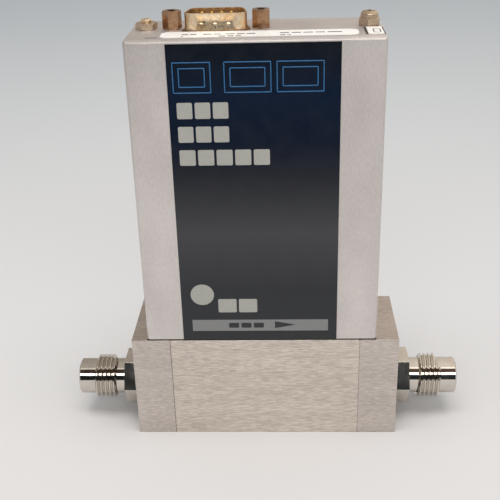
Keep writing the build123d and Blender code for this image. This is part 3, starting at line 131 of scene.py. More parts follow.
forward = Vector((math.sin(CAMERA_YAW) * math.cos(CAMERA_PITCH),
                  math.cos(CAMERA_YAW) * math.cos(CAMERA_PITCH),
                  -math.sin(CAMERA_PITCH)))
level_right = Vector((math.cos(CAMERA_YAW), -math.sin(CAMERA_YAW), 0.0))
level_up = level_right.cross(forward)
right = math.cos(CAMERA_ROLL) * level_right + math.sin(CAMERA_ROLL) * level_up
up = math.cos(CAMERA_ROLL) * level_up - math.sin(CAMERA_ROLL) * level_right
turn = Matrix((right, up, -forward)).transposed().to_4x4()
camera.matrix_world = Matrix.Translation(CAMERA_PLACE) @ turn
print("lens:", round(camera_data.lens, 2), "mm")

# %% [markdown]
# ## Floor, sky and lamps
# The device stands on a pale bench. Two wide soft lamps, one overhead and one in front, give the even light
# of a work bench. Polished metal needs something to reflect, so the sky has dark and bright bands from the
# front horizon over the ceiling to the back, and only glossy rays see them.

# %% Floor
FLOOR_RADIUS = 3.0
FLOOR_SIDES = 96
FLOOR_NEAR = "#cfcbc9"
FLOOR_FAR = "#c7cacc"
FLOOR_NEAR_Y = -0.10
FLOOR_FAR_Y = 0.75

floor_mesh = bpy.data.meshes.new("bench")
floor_ring = [(FLOOR_RADIUS * math.cos(2 * math.pi * i / FLOOR_SIDES),
               FLOOR_RADIUS * math.sin(2 * math.pi * i / FLOOR_SIDES), 0.0) for i in range(FLOOR_SIDES)]
floor_mesh.from_pydata(floor_ring, [], [list(range(FLOOR_SIDES))])
bench = new_object("bench", floor_mesh)

bench_paint = bpy.data.materials.new("bench_laminate")
bench_paint.use_nodes = True
tree = bench_paint.node_tree
tree.nodes.clear()
place = add(tree, "ShaderNodeTexCoord").outputs["Object"]
along = add(tree, "ShaderNodeSeparateXYZ", {0: place}).outputs["Y"]
fade = add(tree, "ShaderNodeMapRange", {"Value": along, "From Min": FLOOR_NEAR_Y, "From Max": FLOOR_FAR_Y})
tint = add(tree, "ShaderNodeMix", {0: fade.outputs[0], 6: linear(FLOOR_NEAR), 7: linear(FLOOR_FAR)},
           data_type="RGBA")
laminate = add(tree, "ShaderNodeBsdfPrincipled", {"Base Color": tint.outputs[2], "Roughness": 0.75})
add(tree, "ShaderNodeOutputMaterial", {"Surface": laminate.outputs[0]})
bench.data.materials.append(bench_paint)

# %% Sky
SKY_COLOUR = "#dfe3e6"
SKY_STRENGTH = 0.76
SEEN_SKY = "#c6cacc"
GLOSSY_DARK = "#1e2326"
GLOSSY_BROWN = "#4b3b31"
GLOSSY_BACK = "#c8c0b8"
GLOSSY_FAR = "#b0a69b"
GLOSSY_BRIGHT = "#fff8f0"
# Each band is a place on the arc from the front horizon (0) over the ceiling (0.5) to the back horizon (1).
GLOSSY_BANDS = [(0.172, GLOSSY_DARK), (0.182, GLOSSY_BRIGHT), (0.238, GLOSSY_BRIGHT), (0.25, GLOSSY_BROWN),
                (0.385, GLOSSY_BROWN), (0.395, GLOSSY_BRIGHT), (0.44, GLOSSY_BRIGHT), (0.46, GLOSSY_BACK),
                (0.58, GLOSSY_BACK), (1.0, GLOSSY_FAR)]

sky = bpy.data.worlds.new("sky")
bpy.context.scene.world = sky
sky.use_nodes = True
tree = sky.node_tree
tree.nodes.clear()
direction = add(tree, "ShaderNodeTexCoord").outputs["Generated"]
parts = add(tree, "ShaderNodeSeparateXYZ", {0: direction}).outputs
ahead = maths(tree, "MULTIPLY", parts["Y"], -1.0)
climb = maths(tree, "ARCTAN2", parts["Z"], ahead)
share = maths(tree, "DIVIDE", climb, math.pi)
bands = add(tree, "ShaderNodeValToRGB", {0: share})
fill_ramp(bands, GLOSSY_BANDS)
ray = add(tree, "ShaderNodeLightPath")
plain = add(tree, "ShaderNodeBackground", {"Color": linear(SKY_COLOUR), "Strength": SKY_STRENGTH})
side_light = add(tree, "ShaderNodeMapRange", {"Value": parts["X"], "From Min": 0.04, "From Max": 0.14,
                                              "To Min": 0.9, "To Max": 1.7})
mirror = add(tree, "ShaderNodeBackground", {"Color": bands.outputs[0], "Strength": side_light.outputs[0]})
seen = add(tree, "ShaderNodeBackground", {"Color": linear(SEEN_SKY), "Strength": 1.0})
lit = add(tree, "ShaderNodeMixShader",
          {0: ray.outputs["Is Glossy Ray"], 1: plain.outputs[0], 2: mirror.outputs[0]})
shown = add(tree, "ShaderNodeMixShader",
            {0: ray.outputs["Is Camera Ray"], 1: lit.outputs[0], 2: seen.outputs[0]})
add(tree, "ShaderNodeOutputWorld", {"Surface": shown.outputs[0]})


# %% Lamps
def lamp(name, place_mm, target_mm, size_mm, watts, colour):
    """A wide soft lamp that points at a target."""
    data = bpy.data.lights.new(name, "AREA")
    data.shape = "RECTANGLE"
    data.size = size_mm[0] * MM
    data.size_y = size_mm[1] * MM
    data.energy = watts
    data.color = linear(colour)[:3]
    light = bpy.data.objects.new(name, data)
    bpy.context.scene.collection.objects.link(light)
    aim = Vector(target_mm) - Vector(place_mm)
    turn = aim.to_track_quat("-Z", "Y").to_matrix().to_4x4()
    light.matrix_world = Matrix.Translation(Vector(place_mm) * MM) @ turn
    return light


DEVICE_MIDDLE = (0, 0, 60)
ceiling = lamp("ceiling_lamp", (0, -160, 930), DEVICE_MIDDLE, (900, 420), 6.2, "#fffdfa")
ceiling.visible_glossy = False  # the metal mirrors the painted sky, not this lamp
lamp("front_lamp", (60, -830, 655), DEVICE_MIDDLE, (900, 225), 2.9, "#fffdfa")

# %% [markdown]
# ## Finishes
# Each finish starts from how the real surface was made. Ground steel has fine parallel lines, so its
# pattern is noise that is stretched along the grinding direction. The lines change the roughness and the
# height a little, and the colour hardly at all. Lines finer than a render can show are drawn somewhat
# coarser.

# %% Finish helpers
NOISE = "ShaderNodeTexNoise"


def start_finish(name):
    """A new material: its node tree, its shader and its Object coordinates."""
    material = bpy.data.materials.new(name)
    material.use_nodes = True
    tree = material.node_tree
    tree.nodes.clear()
    shader = add(tree, "ShaderNodeBsdfPrincipled")
    add(tree, "ShaderNodeOutputMaterial", {"Surface": shader.outputs[0]})
    place = add(tree, "ShaderNodeTexCoord").outputs["Object"]
    return material, tree, shader, place


def stretched(tree, place, size_mm, detail=3.0, rough=0.6):
    """Noise with features of the given size in millimetres along X, Y and Z."""
    scale = [1 / (size * MM) for size in size_mm]
    moved = add(tree, "ShaderNodeMapping", {"Vector": place, "Scale": scale})
    noise = add(tree, NOISE, {"Vector": moved.outputs[0], "Scale": 1.0, "Detail": detail, "Roughness": rough})
    return noise.outputs["Fac"]


def between(tree, factor, low, high, from_low=0.3, from_high=0.7):
    """A factor spread over a range of values."""
    spread = add(tree, "ShaderNodeMapRange", {"Value": factor, "From Min": from_low, "From Max": from_high,
                                              "To Min": low, "To Max": high})
    return spread.outputs[0]


def tinted(tree, factor, first, second):
    """A colour between two hex colours."""
    mixed = add(tree, "ShaderNodeMix", {0: factor, 6: linear(first), 7: linear(second)}, data_type="RGBA")
    return mixed.outputs[2]


def bumped(tree, shader, factor, depth_mm, strength=0.5):
    """Height from a factor."""
    bump = add(tree, "ShaderNodeBump", {"Height": factor, "Distance": depth_mm * MM, "Strength": strength})
    tree.links.new(bump.outputs[0], shader.inputs["Normal"])


# %% Metal finishes
def ground_steel(name, light, dark, grain_mm, roughness):
    """Stainless steel ground along the flow: long fine lines, with broader soft bands between them."""
    material, tree, shader, place = start_finish(name)
    fine = stretched(tree, place, grain_mm, 4.0, 0.65)
    broad = stretched(tree, place, (40.0, 8.0, 6.0), 2.0)
    mixed = add(tree, "ShaderNodeMath", {0: broad, 1: 0.2, 2: fine}, operation="MULTIPLY_ADD").outputs[0]
    shade = between(tree, mixed, 0.0, 1.0, 0.42, 0.78)
    tree.links.new(tinted(tree, shade, dark, light), shader.inputs["Base Color"])
    tree.links.new(between(tree, fine, roughness - 0.07, roughness + 0.07), shader.inputs["Roughness"])
    shader.inputs["Metallic"].default_value = 1.0
    bumped(tree, shader, fine, 0.02, 0.35)
    return material


def smooth_metal(name, light, dark, roughness, mottle_mm):
    """Turned, plated or polished metal: nearly even, with soft patches of tone."""
    material, tree, shader, place = start_finish(name)
    patches = stretched(tree, place, (mottle_mm, mottle_mm, mottle_mm), 4.0)
    tree.links.new(tinted(tree, between(tree, patches, 0.0, 1.0, 0.35, 0.65), dark, light),
                   shader.inputs["Base Color"])
    tree.links.new(between(tree, patches, roughness * 0.8, roughness * 1.25), shader.inputs["Roughness"])
    shader.inputs["Metallic"].default_value = 1.0
    bumped(tree, shader, patches, 0.01, 0.04)
    return material


DRIFT_LOW = 0.30
DRIFT_HIGH = 0.70


def plated(name, colours, roughness, patch_mm):
    """Chromate over zinc: a yellow that drifts to pink, copper and green in thin films."""
    material, tree, shader, place = start_finish(name)
    drift = stretched(tree, place, (patch_mm, patch_mm, patch_mm), 3.0)
    ramp = add(tree, "ShaderNodeValToRGB", {0: drift})
    spread = DRIFT_HIGH - DRIFT_LOW
    fill_ramp(ramp, [(DRIFT_LOW + spread * step / (len(colours) - 1), colour)
                     for step, colour in enumerate(colours)])
    tree.links.new(ramp.outputs[0], shader.inputs["Base Color"])
    grime = stretched(tree, place, (0.5, 0.5, 0.5), 3.0)
    tree.links.new(between(tree, grime, roughness * 0.8, roughness * 1.4), shader.inputs["Roughness"])
    shader.inputs["Metallic"].default_value = 1.0
    bumped(tree, shader, grime, 0.01, 0.08)
    return material


def anodised_sheet(name):
    """Aluminium sheet, etched and anodised: an even satin grey with a faint rolling grain and cloudy tone."""
    material, tree, shader, place = start_finish(name)
    grain = stretched(tree, place, (0.45, 0.45, 1.4), 3.0)
    cloud = stretched(tree, place, (16.0, 16.0, 28.0), 2.0)
    both = maths(tree, "ADD", grain, cloud)
    tree.links.new(tinted(tree, between(tree, both, 0.0, 1.0, 0.75, 1.25), "#cdc7c4", "#e0dad7"),
                   shader.inputs["Base Color"])
    tree.links.new(between(tree, grain, 0.42, 0.52), shader.inputs["Roughness"])
    shader.inputs["Metallic"].default_value = 0.85
    bumped(tree, shader, grain, 0.008, 0.3)
    return material


main_steel = ground_steel("ground_stainless_coarse", "#efe5db", "#bab0a7", (2.6, 0.5, 0.24), 0.40)
end_steel = ground_steel("ground_stainless_fine", "#ddd4cd", "#b4aca6", (1.8, 0.3, 0.24), 0.34)
polished_steel = smooth_metal("electropolished_stainless", "#d6d1c9", "#ccc6bd", 0.09, 3.0)
screw_steel = smooth_metal("stainless_screws", "#b9b5ae", "#a49f98", 0.28, 1.5)
case_sheet = anodised_sheet("anodised_sheet")
yellow_zinc = plated("yellow_chromate", ("#ecc296", "#f4d2a4", "#fae6c8", "#efc69c"), 0.28, 2.6)
copper_zinc = plated("worn_chromate", ("#a0795c", "#b99575", "#a47f62", "#ceab8e"), 0.20, 3.0)
dull_zinc = plated("dull_chromate", ("#c9b29b", "#cfbaa2", "#d7c1aa", "#cbb49d"), 0.38, 3.0)
gold_plate = smooth_metal("gold_plate", "#f2cd7a", "#e2b65c", 0.18, 1.0)
copper_wire = smooth_metal("enamelled_copper", "#b5653a", "#9a4f2a", 0.30, 1.0)
print("metals:", len(bpy.data.materials))


# %% Plastic finishes
def moulded(name, light, dark, roughness, texture_mm):
    """Moulded or coated plastic: even colour with a fine texture."""
    material, tree, shader, place = start_finish(name)
    texture = stretched(tree, place, (texture_mm, texture_mm, texture_mm), 3.0)
    tree.links.new(tinted(tree, between(tree, texture, 0.0, 1.0), dark, light), shader.inputs["Base Color"])
    tree.links.new(between(tree, texture, roughness - 0.05, roughness + 0.05), shader.inputs["Roughness"])
    bumped(tree, shader, texture, 0.01, 0.3)
    return material


FILM_LOW_Z = 34.4
FILM_HIGH_Z = 125.5
FILM_DUST = "#4b4c52"
# dark print with a painted reflection up the film's height: charcoal below, navy at the top
FILM_INK_AND_REFLECTION = [(0.0, "#38393a"), (0.20, "#36373a"), (0.40, "#454547"), (0.50, "#363739"), (0.60, "#24252c"),
            (0.70, "#0e1727"), (0.85, "#08182c"), (1.0, "#0e131b")]


def printed_film(name):
    """Screen-printed polyester film, almost matt, with fine dust marks: dark print under a painted reflection,
    navy at the top and charcoal below.
    """
    material, tree, shader, place = start_finish(name)
    height = add(tree, "ShaderNodeSeparateXYZ", {0: place}).outputs["Z"]
    share = between(tree, height, 0.0, 1.0, FILM_LOW_Z * MM, FILM_HIGH_Z * MM)
    # painted reflection over the dark print, along the film's height
    ink = add(tree, "ShaderNodeValToRGB", {0: share})
    fill_ramp(ink, FILM_INK_AND_REFLECTION)
    mottle = stretched(tree, place, (5.0, 5.0, 5.0), 4.0)
    clouded = add(tree, "ShaderNodeMix", {0: between(tree, mottle, 0.0, 0.07), 6: ink.outputs[0],
                                          7: linear(FILM_DUST)}, data_type="RGBA")
    tree.links.new(clouded.outputs[2], shader.inputs["Base Color"])
    tree.links.new(between(tree, mottle, 0.34, 0.46), shader.inputs["Roughness"])
    shader.inputs["Specular IOR Level"].default_value = 0.05
    ripple = stretched(tree, place, (18.0, 18.0, 18.0), 1.0)
    bumped(tree, shader, ripple, 0.05, 0.3)
    return material


def ink_paint(name, light, dark):
    """Printing ink: flat colour with a trace of the screen's weave."""
    return moulded(name, light, dark, 0.5, 0.5)


black_insert = moulded("moulded_black_insert", "#1d1b19", "#100f0e", 0.45, 0.4)
front_film = printed_film("screen_printed_film")
label_paper = moulded("white_polyester_label", "#e6e2dd", "#dcd7d2", 0.38, 0.8)
print("materials:", len(bpy.data.materials))

# %% [markdown]
# ## Dressing the solids
# A real machined edge is never perfectly sharp: it has a small broken edge that catches the light. A packed
# solid is loose triangles, so a copy is merged and its flat faces are joined again, and only then does a
# Bevel modifier find the true edges. The copy stands in for the solid.


# %% Skin helper
SHARP_DEGREES = 35.0
FLAT_DEGREES = 0.5
MERGE_DISTANCE = 1e-6


def finished(piece):
    """Applies a piece's modifiers and gives it back as a plain mesh."""
    evaluated = piece.evaluated_get(bpy.context.evaluated_depsgraph_get())
    mesh = bpy.data.meshes.new_from_object(evaluated)
    piece.modifiers.clear()
    old = piece.data
    piece.data = mesh
    bpy.data.meshes.remove(old)
    return piece


def soften(piece, bevel_mm, segments=2, angle=SHARP_DEGREES, clamp=True):
    """Breaks a piece's sharp edges and shades it smooth between them."""
    for polygon in piece.data.polygons:
        polygon.use_smooth = True
    bevel = piece.modifiers.new("broken_edges", "BEVEL")
    bevel.width = bevel_mm * MM
    bevel.segments = segments
    bevel.limit_method = "ANGLE"
    bevel.angle_limit = math.radians(angle)
    bevel.harden_normals = True
    bevel.use_clamp_overlap = clamp
    return finished(piece)


def skin(node, material, bevel_mm=0.0, join=True, clamp=True):
    """A beveled copy of a CAD node that stands in for it."""
    work = bmesh.new()
    work.from_mesh(cad_nodes[node].data)
    bmesh.ops.remove_doubles(work, verts=work.verts, dist=MERGE_DISTANCE)
    if join:
        bmesh.ops.dissolve_limit(work, angle_limit=math.radians(FLAT_DEGREES), verts=work.verts,
                                 edges=work.edges)
    work.verts.ensure_lookup_table()
    corners = [vert.co.copy() for vert in work.verts]
    faces = [[vert.index for vert in face.verts] for face in work.faces]
    work.free()
    mesh = bpy.data.meshes.new(node + "_skin")
    mesh.from_pydata(corners, [], faces)
    mesh.materials.append(material)
    piece = new_object(node + "_skin", mesh)
    if bevel_mm:
        soften(piece, bevel_mm, clamp=clamp)
    else:
        mesh.polygons.foreach_set("use_smooth", [True] * len(mesh.polygons))
        mesh.set_sharp_from_angle(angle=math.radians(SHARP_DEGREES))
    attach(piece, frame_body(node))
    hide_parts(node)
    return piece


def frame_body(node):
    """The body that a CAD node belongs to."""
    return next(body for body, names in frame["record"]["behaviour"]["bodies"].items() if node in names)


# %% Base blocks
skin("main_block", main_steel, 0.20, clamp=False)
skin("inlet_end_block", end_steel, 0.20, clamp=False)
skin("outlet_end_block", end_steel, 0.20, clamp=False)

# %% [markdown]
# ## Seams
# Two pieces that meet leave a dark line, because little light gets in between them. This shade is painted:
# thin dark boxes lie in the groove between the blocks' broken edges, and others run round the foot of the cover.


# %% Seams
def block_mesh(work, low_mm, high_mm):
    """Adds a plain box to a mesh that is being built."""
    size = Vector(high_mm) - Vector(low_mm)
    middle = (Vector(high_mm) + Vector(low_mm)) / 2
    place = Matrix.Translation(middle * MM) @ Matrix.Diagonal((*(size * MM), 1.0))
    bmesh.ops.create_cube(work, size=1.0, matrix=place)


def paint_seam_shade(name, boxes_mm):
    """Painted shade in the dark line where two pieces meet, as thin boxes."""
    work = bmesh.new()
    for low_mm, high_mm in boxes_mm:
        block_mesh(work, low_mm, high_mm)
    mesh = bpy.data.meshes.new(name)
    work.to_mesh(mesh)
    work.free()
    mesh.materials.append(seam_shade_paint)
    piece = new_object(name, mesh)
    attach(piece, HOUSING)


SEAM_HALF = 0.20
SEAM_SUNK = 0.04
# painted shade: thin dark boxes in the grooves between the end blocks and the main block
seam_shade_paint = moulded("seam_shadow", "#2f2620", "#241c17", 0.8, 0.5)
base_low, base_high = (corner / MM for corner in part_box("main_block"))
for side, word in ((-1, "inlet"), (1, "outlet")):
    end_low, end_high = (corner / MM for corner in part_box(word + "_end_block"))
    joint_x = base_high.x if side > 0 else base_low.x
    low_mm = (joint_x - SEAM_HALF, max(base_low.y, end_low.y) + SEAM_SUNK,
              max(base_low.z, end_low.z) + SEAM_SUNK)
    high_mm = (joint_x + SEAM_HALF, min(base_high.y, end_high.y) - SEAM_SUNK,
               min(base_high.z, end_high.z) - SEAM_SUNK)
    paint_seam_shade(word + "_seam", [(low_mm, high_mm)])

# painted shade: a thin dark ring round the foot of the cover
FOOT_STANDS_OUT = 0.03
FOOT_HEIGHT = 0.28
FOOT_SUNK = 0.02
FOOT_STRIP = 0.1
foot_low, foot_high = (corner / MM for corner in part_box("cover"))
x0, x1 = foot_low.x - FOOT_STANDS_OUT, foot_high.x + FOOT_STANDS_OUT
y0, y1 = foot_low.y - FOOT_STANDS_OUT, foot_high.y + FOOT_STANDS_OUT
z0, z1 = foot_low.z - FOOT_SUNK, foot_low.z + FOOT_HEIGHT
paint_seam_shade("cover_foot_seam", [((x0, y0, z0), (x1, y0 + FOOT_STRIP, z1)),
                         ((x0, y1 - FOOT_STRIP, z0), (x1, y1, z1)),
                         ((x0, y0, z0), (x0 + FOOT_STRIP, y1, z1)),
                         ((x1 - FOOT_STRIP, y0, z0), (x1, y1, z1))])

# %% [markdown]
# ## Cover and fixings
# The cover, its labels, the connector and the fixings are dressed in the same way as the base blocks.

# %% Cover and its labels
skin("cover", case_sheet, 0.10)
skin("front_label", front_film, 0.06)
skin("top_label", label_paper, 0.04)
skin("corner_label", label_paper, 0.04)

# %% Connector and fixings
skin("connector_shell", yellow_zinc, 0.0, join=False)
skin("connector_insulator", black_insert, 0.10)
skin("connector_pins", gold_plate, 0.0)
skin("jack_screws", copper_zinc, 0.12)
skin("cover_nut", dull_zinc, 0.12)
skin("cover_stud", yellow_zinc, 0.10)
skin("cover_spacer", dull_zinc, 0.12)
skin("cover_screw", dull_zinc, 0.10)


# %% [markdown]
# ## Fittings
# A face-seal fitting is turned from bar: a bore, a sealing face with its bead, a long nose, the thread and
# a hexagon. Its outline is spun round the gas way here, and the thread is added by Geometry Nodes as a
# ridge that follows a helix.


# %% Lathe helper
LATHE_STEPS = 128
TURNED_BEVEL = 0.12


def lathe(name, outline_mm, side, material):
    """A closed outline of (along, radius) points spun round the gas way, from the end block outwards."""
    flow_z = FLOW_HEIGHT * MM
    work = bmesh.new()
    rings = []
    for step in range(LATHE_STEPS):
        angle = 2 * math.pi * step / LATHE_STEPS
        ring = []
        for along, radius in outline_mm:
            x = side * (BASE_END_X + along) * MM
            y = radius * MM * math.cos(angle)
            z = flow_z + radius * MM * math.sin(angle)
            ring.append(work.verts.new((x, y, z)))
        rings.append(ring)
    count = len(outline_mm)
    for step in range(LATHE_STEPS):
        ring = rings[step]
        following = rings[(step + 1) % LATHE_STEPS]
        for point in range(count):
            beyond = (point + 1) % count
            work.faces.new((ring[point], ring[beyond], following[beyond], following[point]))
    bmesh.ops.recalc_face_normals(work, faces=work.faces)
    mesh = bpy.data.meshes.new(name)
    work.to_mesh(mesh)
    work.free()
    mesh.materials.append(material)
    piece = new_object(name, mesh)
    return soften(piece, TURNED_BEVEL, 2, 25.0)


# %% Fitting sizes
BASE_END_X = round(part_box("outlet_end_block")[1].x / MM, 3)
FLOW_HEIGHT = 12.7
BORE_R = 2.3
SHANK_LENGTH = 6.5
SHANK_R = 5.9
HEX_AF = 15.875
HEX_LENGTH = 5.0
NECK_R = 5.85
NECK_END = 8.6
HEX_BEVEL = 0.15
THREAD_R = 7.145
THREAD_PITCH = 1.411
THREAD_DEPTH = 0.80
THREAD_END = 14.6
THREAD_RUNOUT = 0.45
NOSE_R = 5.85
NOSE_CHAMFER = 0.4
NOSE_END = 20.5
FACE_R = 4.4
FACE_DEPTH = 0.6
BEAD_R = 0.4
BEAD_STEPS = 8


# %% Turned bodies
def fitting_outline():
    """The outline of a fitting, from its shank in the end block round to its bore."""
    core_r = THREAD_R - THREAD_DEPTH
    bead_middle = (FACE_R + BORE_R) / 2
    face = NOSE_END - FACE_DEPTH
    outline = [(-SHANK_LENGTH, BORE_R), (-SHANK_LENGTH, SHANK_R), (HEX_LENGTH / 2, SHANK_R),
               (HEX_LENGTH / 2, NECK_R), (NECK_END, NECK_R), (NECK_END + THREAD_RUNOUT, core_r),
               (THREAD_END - THREAD_RUNOUT, core_r), (THREAD_END, NOSE_R), (NOSE_END - NOSE_CHAMFER, NOSE_R),
               (NOSE_END, NOSE_R - NOSE_CHAMFER), (NOSE_END, FACE_R), (face, FACE_R)]
    for step in range(BEAD_STEPS + 1):
        angle = math.pi * step / BEAD_STEPS
        outline.append((face + BEAD_R * math.sin(angle), bead_middle + BEAD_R * math.cos(angle)))
    outline.append((face, BORE_R))
    return outline


def hexagon_body(name, side, material):
    """The hexagon as a prism round the shank, with a flat on top and its edges broken."""
    corner_r = HEX_AF / math.sqrt(3)
    work = bmesh.new()
    ends = []
    for along in (0.0, HEX_LENGTH):
        ring = []
        for step in range(6):
            angle = math.pi * step / 3
            ring.append(work.verts.new((side * (BASE_END_X + along) * MM, corner_r * MM * math.cos(angle),
                                        (FLOW_HEIGHT + corner_r * math.sin(angle)) * MM)))
        ends.append(ring)
        work.faces.new(ring)
    for step in range(6):
        beyond = (step + 1) % 6
        work.faces.new((ends[0][step], ends[0][beyond], ends[1][beyond], ends[1][step]))
    bmesh.ops.recalc_face_normals(work, faces=work.faces)
    prism = bpy.data.meshes.new(name)
    work.to_mesh(prism)
    work.free()
    prism.materials.append(material)
    return soften(new_object(name, prism), HEX_BEVEL, 2, 20.0)


# %% [markdown]
# The thread's tree takes its radius, pitch, turns and depth as inputs. A spiral curve gives the path, and a
# trapezoid is swept along it. The ridge shrinks almost to nothing at both ends, as a cut thread runs out.


# %% Thread tree
def group_tree(name, sizes, takes_mesh=False):
    """An empty Geometry Nodes tree with named number inputs and one mesh output."""
    tree = bpy.data.node_groups.new(name, "GeometryNodeTree")
    if takes_mesh:
        tree.interface.new_socket("Points", in_out="INPUT", socket_type="NodeSocketGeometry")
    for label, kind, value in sizes:
        socket = tree.interface.new_socket(label, in_out="INPUT", socket_type=kind)
        socket.default_value = value
    tree.interface.new_socket("Mesh", in_out="OUTPUT", socket_type="NodeSocketGeometry")
    return tree, add(tree, "NodeGroupInput").outputs


def close_tree(tree, geometry, material):
    """Ends a tree: instances become real, and the material is set."""
    real = add(tree, "GeometryNodeRealizeInstances", {0: geometry})
    painted = add(tree, "GeometryNodeSetMaterial", {"Geometry": real.outputs[0], "Material": material})
    add(tree, "NodeGroupOutput", {0: painted.outputs[0]})
    return tree


def grow(name, tree, values, mesh=None):
    """Runs a tree on a mesh, with its inputs set by identifier, and keeps the result as a plain mesh."""
    piece = new_object(name, mesh or bpy.data.meshes.new(name))
    modifier = piece.modifiers.new(name, "NODES")
    modifier.node_group = tree
    names = {item.name: item.identifier for item in tree.interface.items_tree if item.in_out == "INPUT"}
    for label, value in values.items():
        modifier[names[label]] = value
    return finished(piece)


THREAD_PROFILE_TURN = 90.0
RIDGE_FADE = 24.0
RIDGE_THINNEST = 0.02
RIDGE_FOOT_SHARE = 0.92
RIDGE_CREST_SHARE = 0.20
RIDGE_LEAD_SHARE = 0.1
RIDGE_EXTRA_TURN = 0.15
RIDGE_SMOOTH_DEGREES = 40


def thread_tree(material):
    """A screw thread: a trapezoid ridge swept along a helix that rises along Z."""
    number = "NodeSocketFloat"
    tree, size = group_tree("screw_thread", [("Core radius", number, 0.006), ("Pitch", number, 0.0014),
                                             ("Turns", number, 5.0), ("Depth", number, 0.0008)])
    rise = maths(tree, "MULTIPLY", size["Pitch"], size["Turns"])
    helix = add(tree, "GeometryNodeCurveSpiral",
                {"Resolution": 96, "Rotations": size["Turns"], "Start Radius": size["Core radius"],
                 "End Radius": size["Core radius"], "Height": rise})
    level = add(tree, "GeometryNodeSetCurveNormal", {"Curve": helix.outputs[0]}, mode="Z_UP")
    share = add(tree, "GeometryNodeSplineParameter").outputs["Factor"]
    start = maths(tree, "MULTIPLY", share, RIDGE_FADE)
    left = maths(tree, "SUBTRACT", 1.0, share)
    end = maths(tree, "MULTIPLY", left, RIDGE_FADE)
    nearer = maths(tree, "MINIMUM", start, end)
    fade = maths(tree, "MINIMUM", nearer, 1.0)
    faded = maths(tree, "MAXIMUM", fade, RIDGE_THINNEST)
    thin = add(tree, "GeometryNodeSetCurveRadius", {"Curve": level.outputs[0], "Radius": faded})
    foot = maths(tree, "MULTIPLY", size["Pitch"], RIDGE_FOOT_SHARE)
    crest = maths(tree, "MULTIPLY", size["Pitch"], RIDGE_CREST_SHARE)
    profile = add(tree, "GeometryNodeCurvePrimitiveQuadrilateral",
                  {"Bottom Width": foot, "Top Width": crest, "Offset": 0.0, "Height": size["Depth"]},
                  mode="TRAPEZOID")
    half = maths(tree, "MULTIPLY", size["Depth"], 0.5)
    lift = add(tree, "ShaderNodeCombineXYZ", {"Y": half}).outputs[0]
    raised = add(tree, "GeometryNodeTransform", {"Geometry": profile.outputs[0], "Translation": lift})
    turned = add(tree, "GeometryNodeTransform",
                 {"Geometry": raised.outputs[0], "Rotation": (0.0, 0.0, math.radians(THREAD_PROFILE_TURN))})
    ridge = add(tree, "GeometryNodeCurveToMesh",
                {"Curve": thin.outputs[0], "Profile Curve": turned.outputs[0], "Fill Caps": True})
    return close_tree(tree, ridge.outputs[0], material)


THREAD_TURNS = (THREAD_END - NECK_END) / THREAD_PITCH + RIDGE_EXTRA_TURN
thread = thread_tree(polished_steel)


def fitting(side, word):
    """One fitting in three pieces that stand for its CAD node."""
    body = lathe(word + "_fitting_body", fitting_outline(), side, polished_steel)
    nut = hexagon_body(word + "_fitting_hexagon", side, polished_steel)
    ridge = grow(word + "_fitting_thread", thread,
                 {"Core radius": (THREAD_R - THREAD_DEPTH) * MM, "Pitch": THREAD_PITCH * MM,
                  "Turns": THREAD_TURNS, "Depth": THREAD_DEPTH * MM})
    start = (BASE_END_X + NECK_END - RIDGE_LEAD_SHARE * THREAD_PITCH) * MM
    lay_down = Matrix.Rotation(math.radians(90 * side), 4, "Y")
    ridge.data.transform(Matrix.Translation((side * start, 0, FLOW_HEIGHT * MM)) @ lay_down)
    ridge.data.polygons.foreach_set("use_smooth", [True] * len(ridge.data.polygons))
    ridge.data.set_sharp_from_angle(angle=math.radians(RIDGE_SMOOTH_DEGREES))
    for piece in (body, nut, ridge):
        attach(piece, HOUSING)
        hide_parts(word + "_fitting")
    print(word, "thread faces:", len(ridge.data.polygons))


fitting(-1, "inlet")
fitting(1, "outlet")

# %% [markdown]
# ## Print
# The film carries screen print: three outlined boxes, rows of equal blocks, a plain disc and a grey bar with
# a flow arrow. The print says nothing: it only keeps the weight and the places of the fields. Each block is a
# point that knows its width and its height, and a tree turns the points into rounded ink.

# %% Print tree
INK_THICKNESS = 0.02
INK_SUNK = 0.01


def print_tree(name, material, stroked):
    """Rounded ink shapes on points that carry a width and a height, filled or drawn as an outline."""
    number = "NodeSocketFloat"
    tree, size = group_tree(name, [("Corner radius", number, 0.0003), ("Line width", number, 0.0003),
                                   ("Ink thickness", number, INK_THICKNESS * MM)], takes_mesh=True)
    points = add(tree, "GeometryNodeMeshToPoints", {"Mesh": size["Points"]})
    wide = add(tree, "GeometryNodeInputNamedAttribute", {"Name": "wide"}, data_type="FLOAT").outputs[0]
    tall = add(tree, "GeometryNodeInputNamedAttribute", {"Name": "tall"}, data_type="FLOAT").outputs[0]
    spread = add(tree, "ShaderNodeCombineXYZ", {"X": wide, "Y": tall, "Z": 1.0}).outputs[0]
    unit = add(tree, "GeometryNodeCurvePrimitiveQuadrilateral", {"Width": 1.0, "Height": 1.0})
    placed = add(tree, "GeometryNodeInstanceOnPoints",
                 {"Points": points.outputs[0], "Instance": unit.outputs[0], "Scale": spread})
    real = add(tree, "GeometryNodeRealizeInstances", {0: placed.outputs[0]})
    rounded = add(tree, "GeometryNodeFilletCurve", {"Curve": real.outputs[0], "Radius": size["Corner radius"],
                                                    "Limit Radius": True, "Count": 8}, mode="POLY")
    if stroked:
        flat = add(tree, "GeometryNodeSetCurveNormal", {"Curve": rounded.outputs[0]}, mode="Z_UP")
        nib = add(tree, "GeometryNodeCurvePrimitiveQuadrilateral",
                  {"Width": size["Line width"], "Height": size["Ink thickness"]})
        ink = add(tree, "GeometryNodeCurveToMesh",
                  {"Curve": flat.outputs[0], "Profile Curve": nib.outputs[0]})
    else:
        flat = add(tree, "GeometryNodeFillCurve", {"Curve": rounded.outputs[0]}, mode="NGONS")
        ink = add(tree, "GeometryNodeExtrudeMesh",
                  {"Mesh": flat.outputs[0], "Offset Scale": size["Ink thickness"], "Individual": False})
        ink = add(tree, "GeometryNodeJoinGeometry", {0: ink.outputs[0]})
    return close_tree(tree, ink.outputs[0], material)


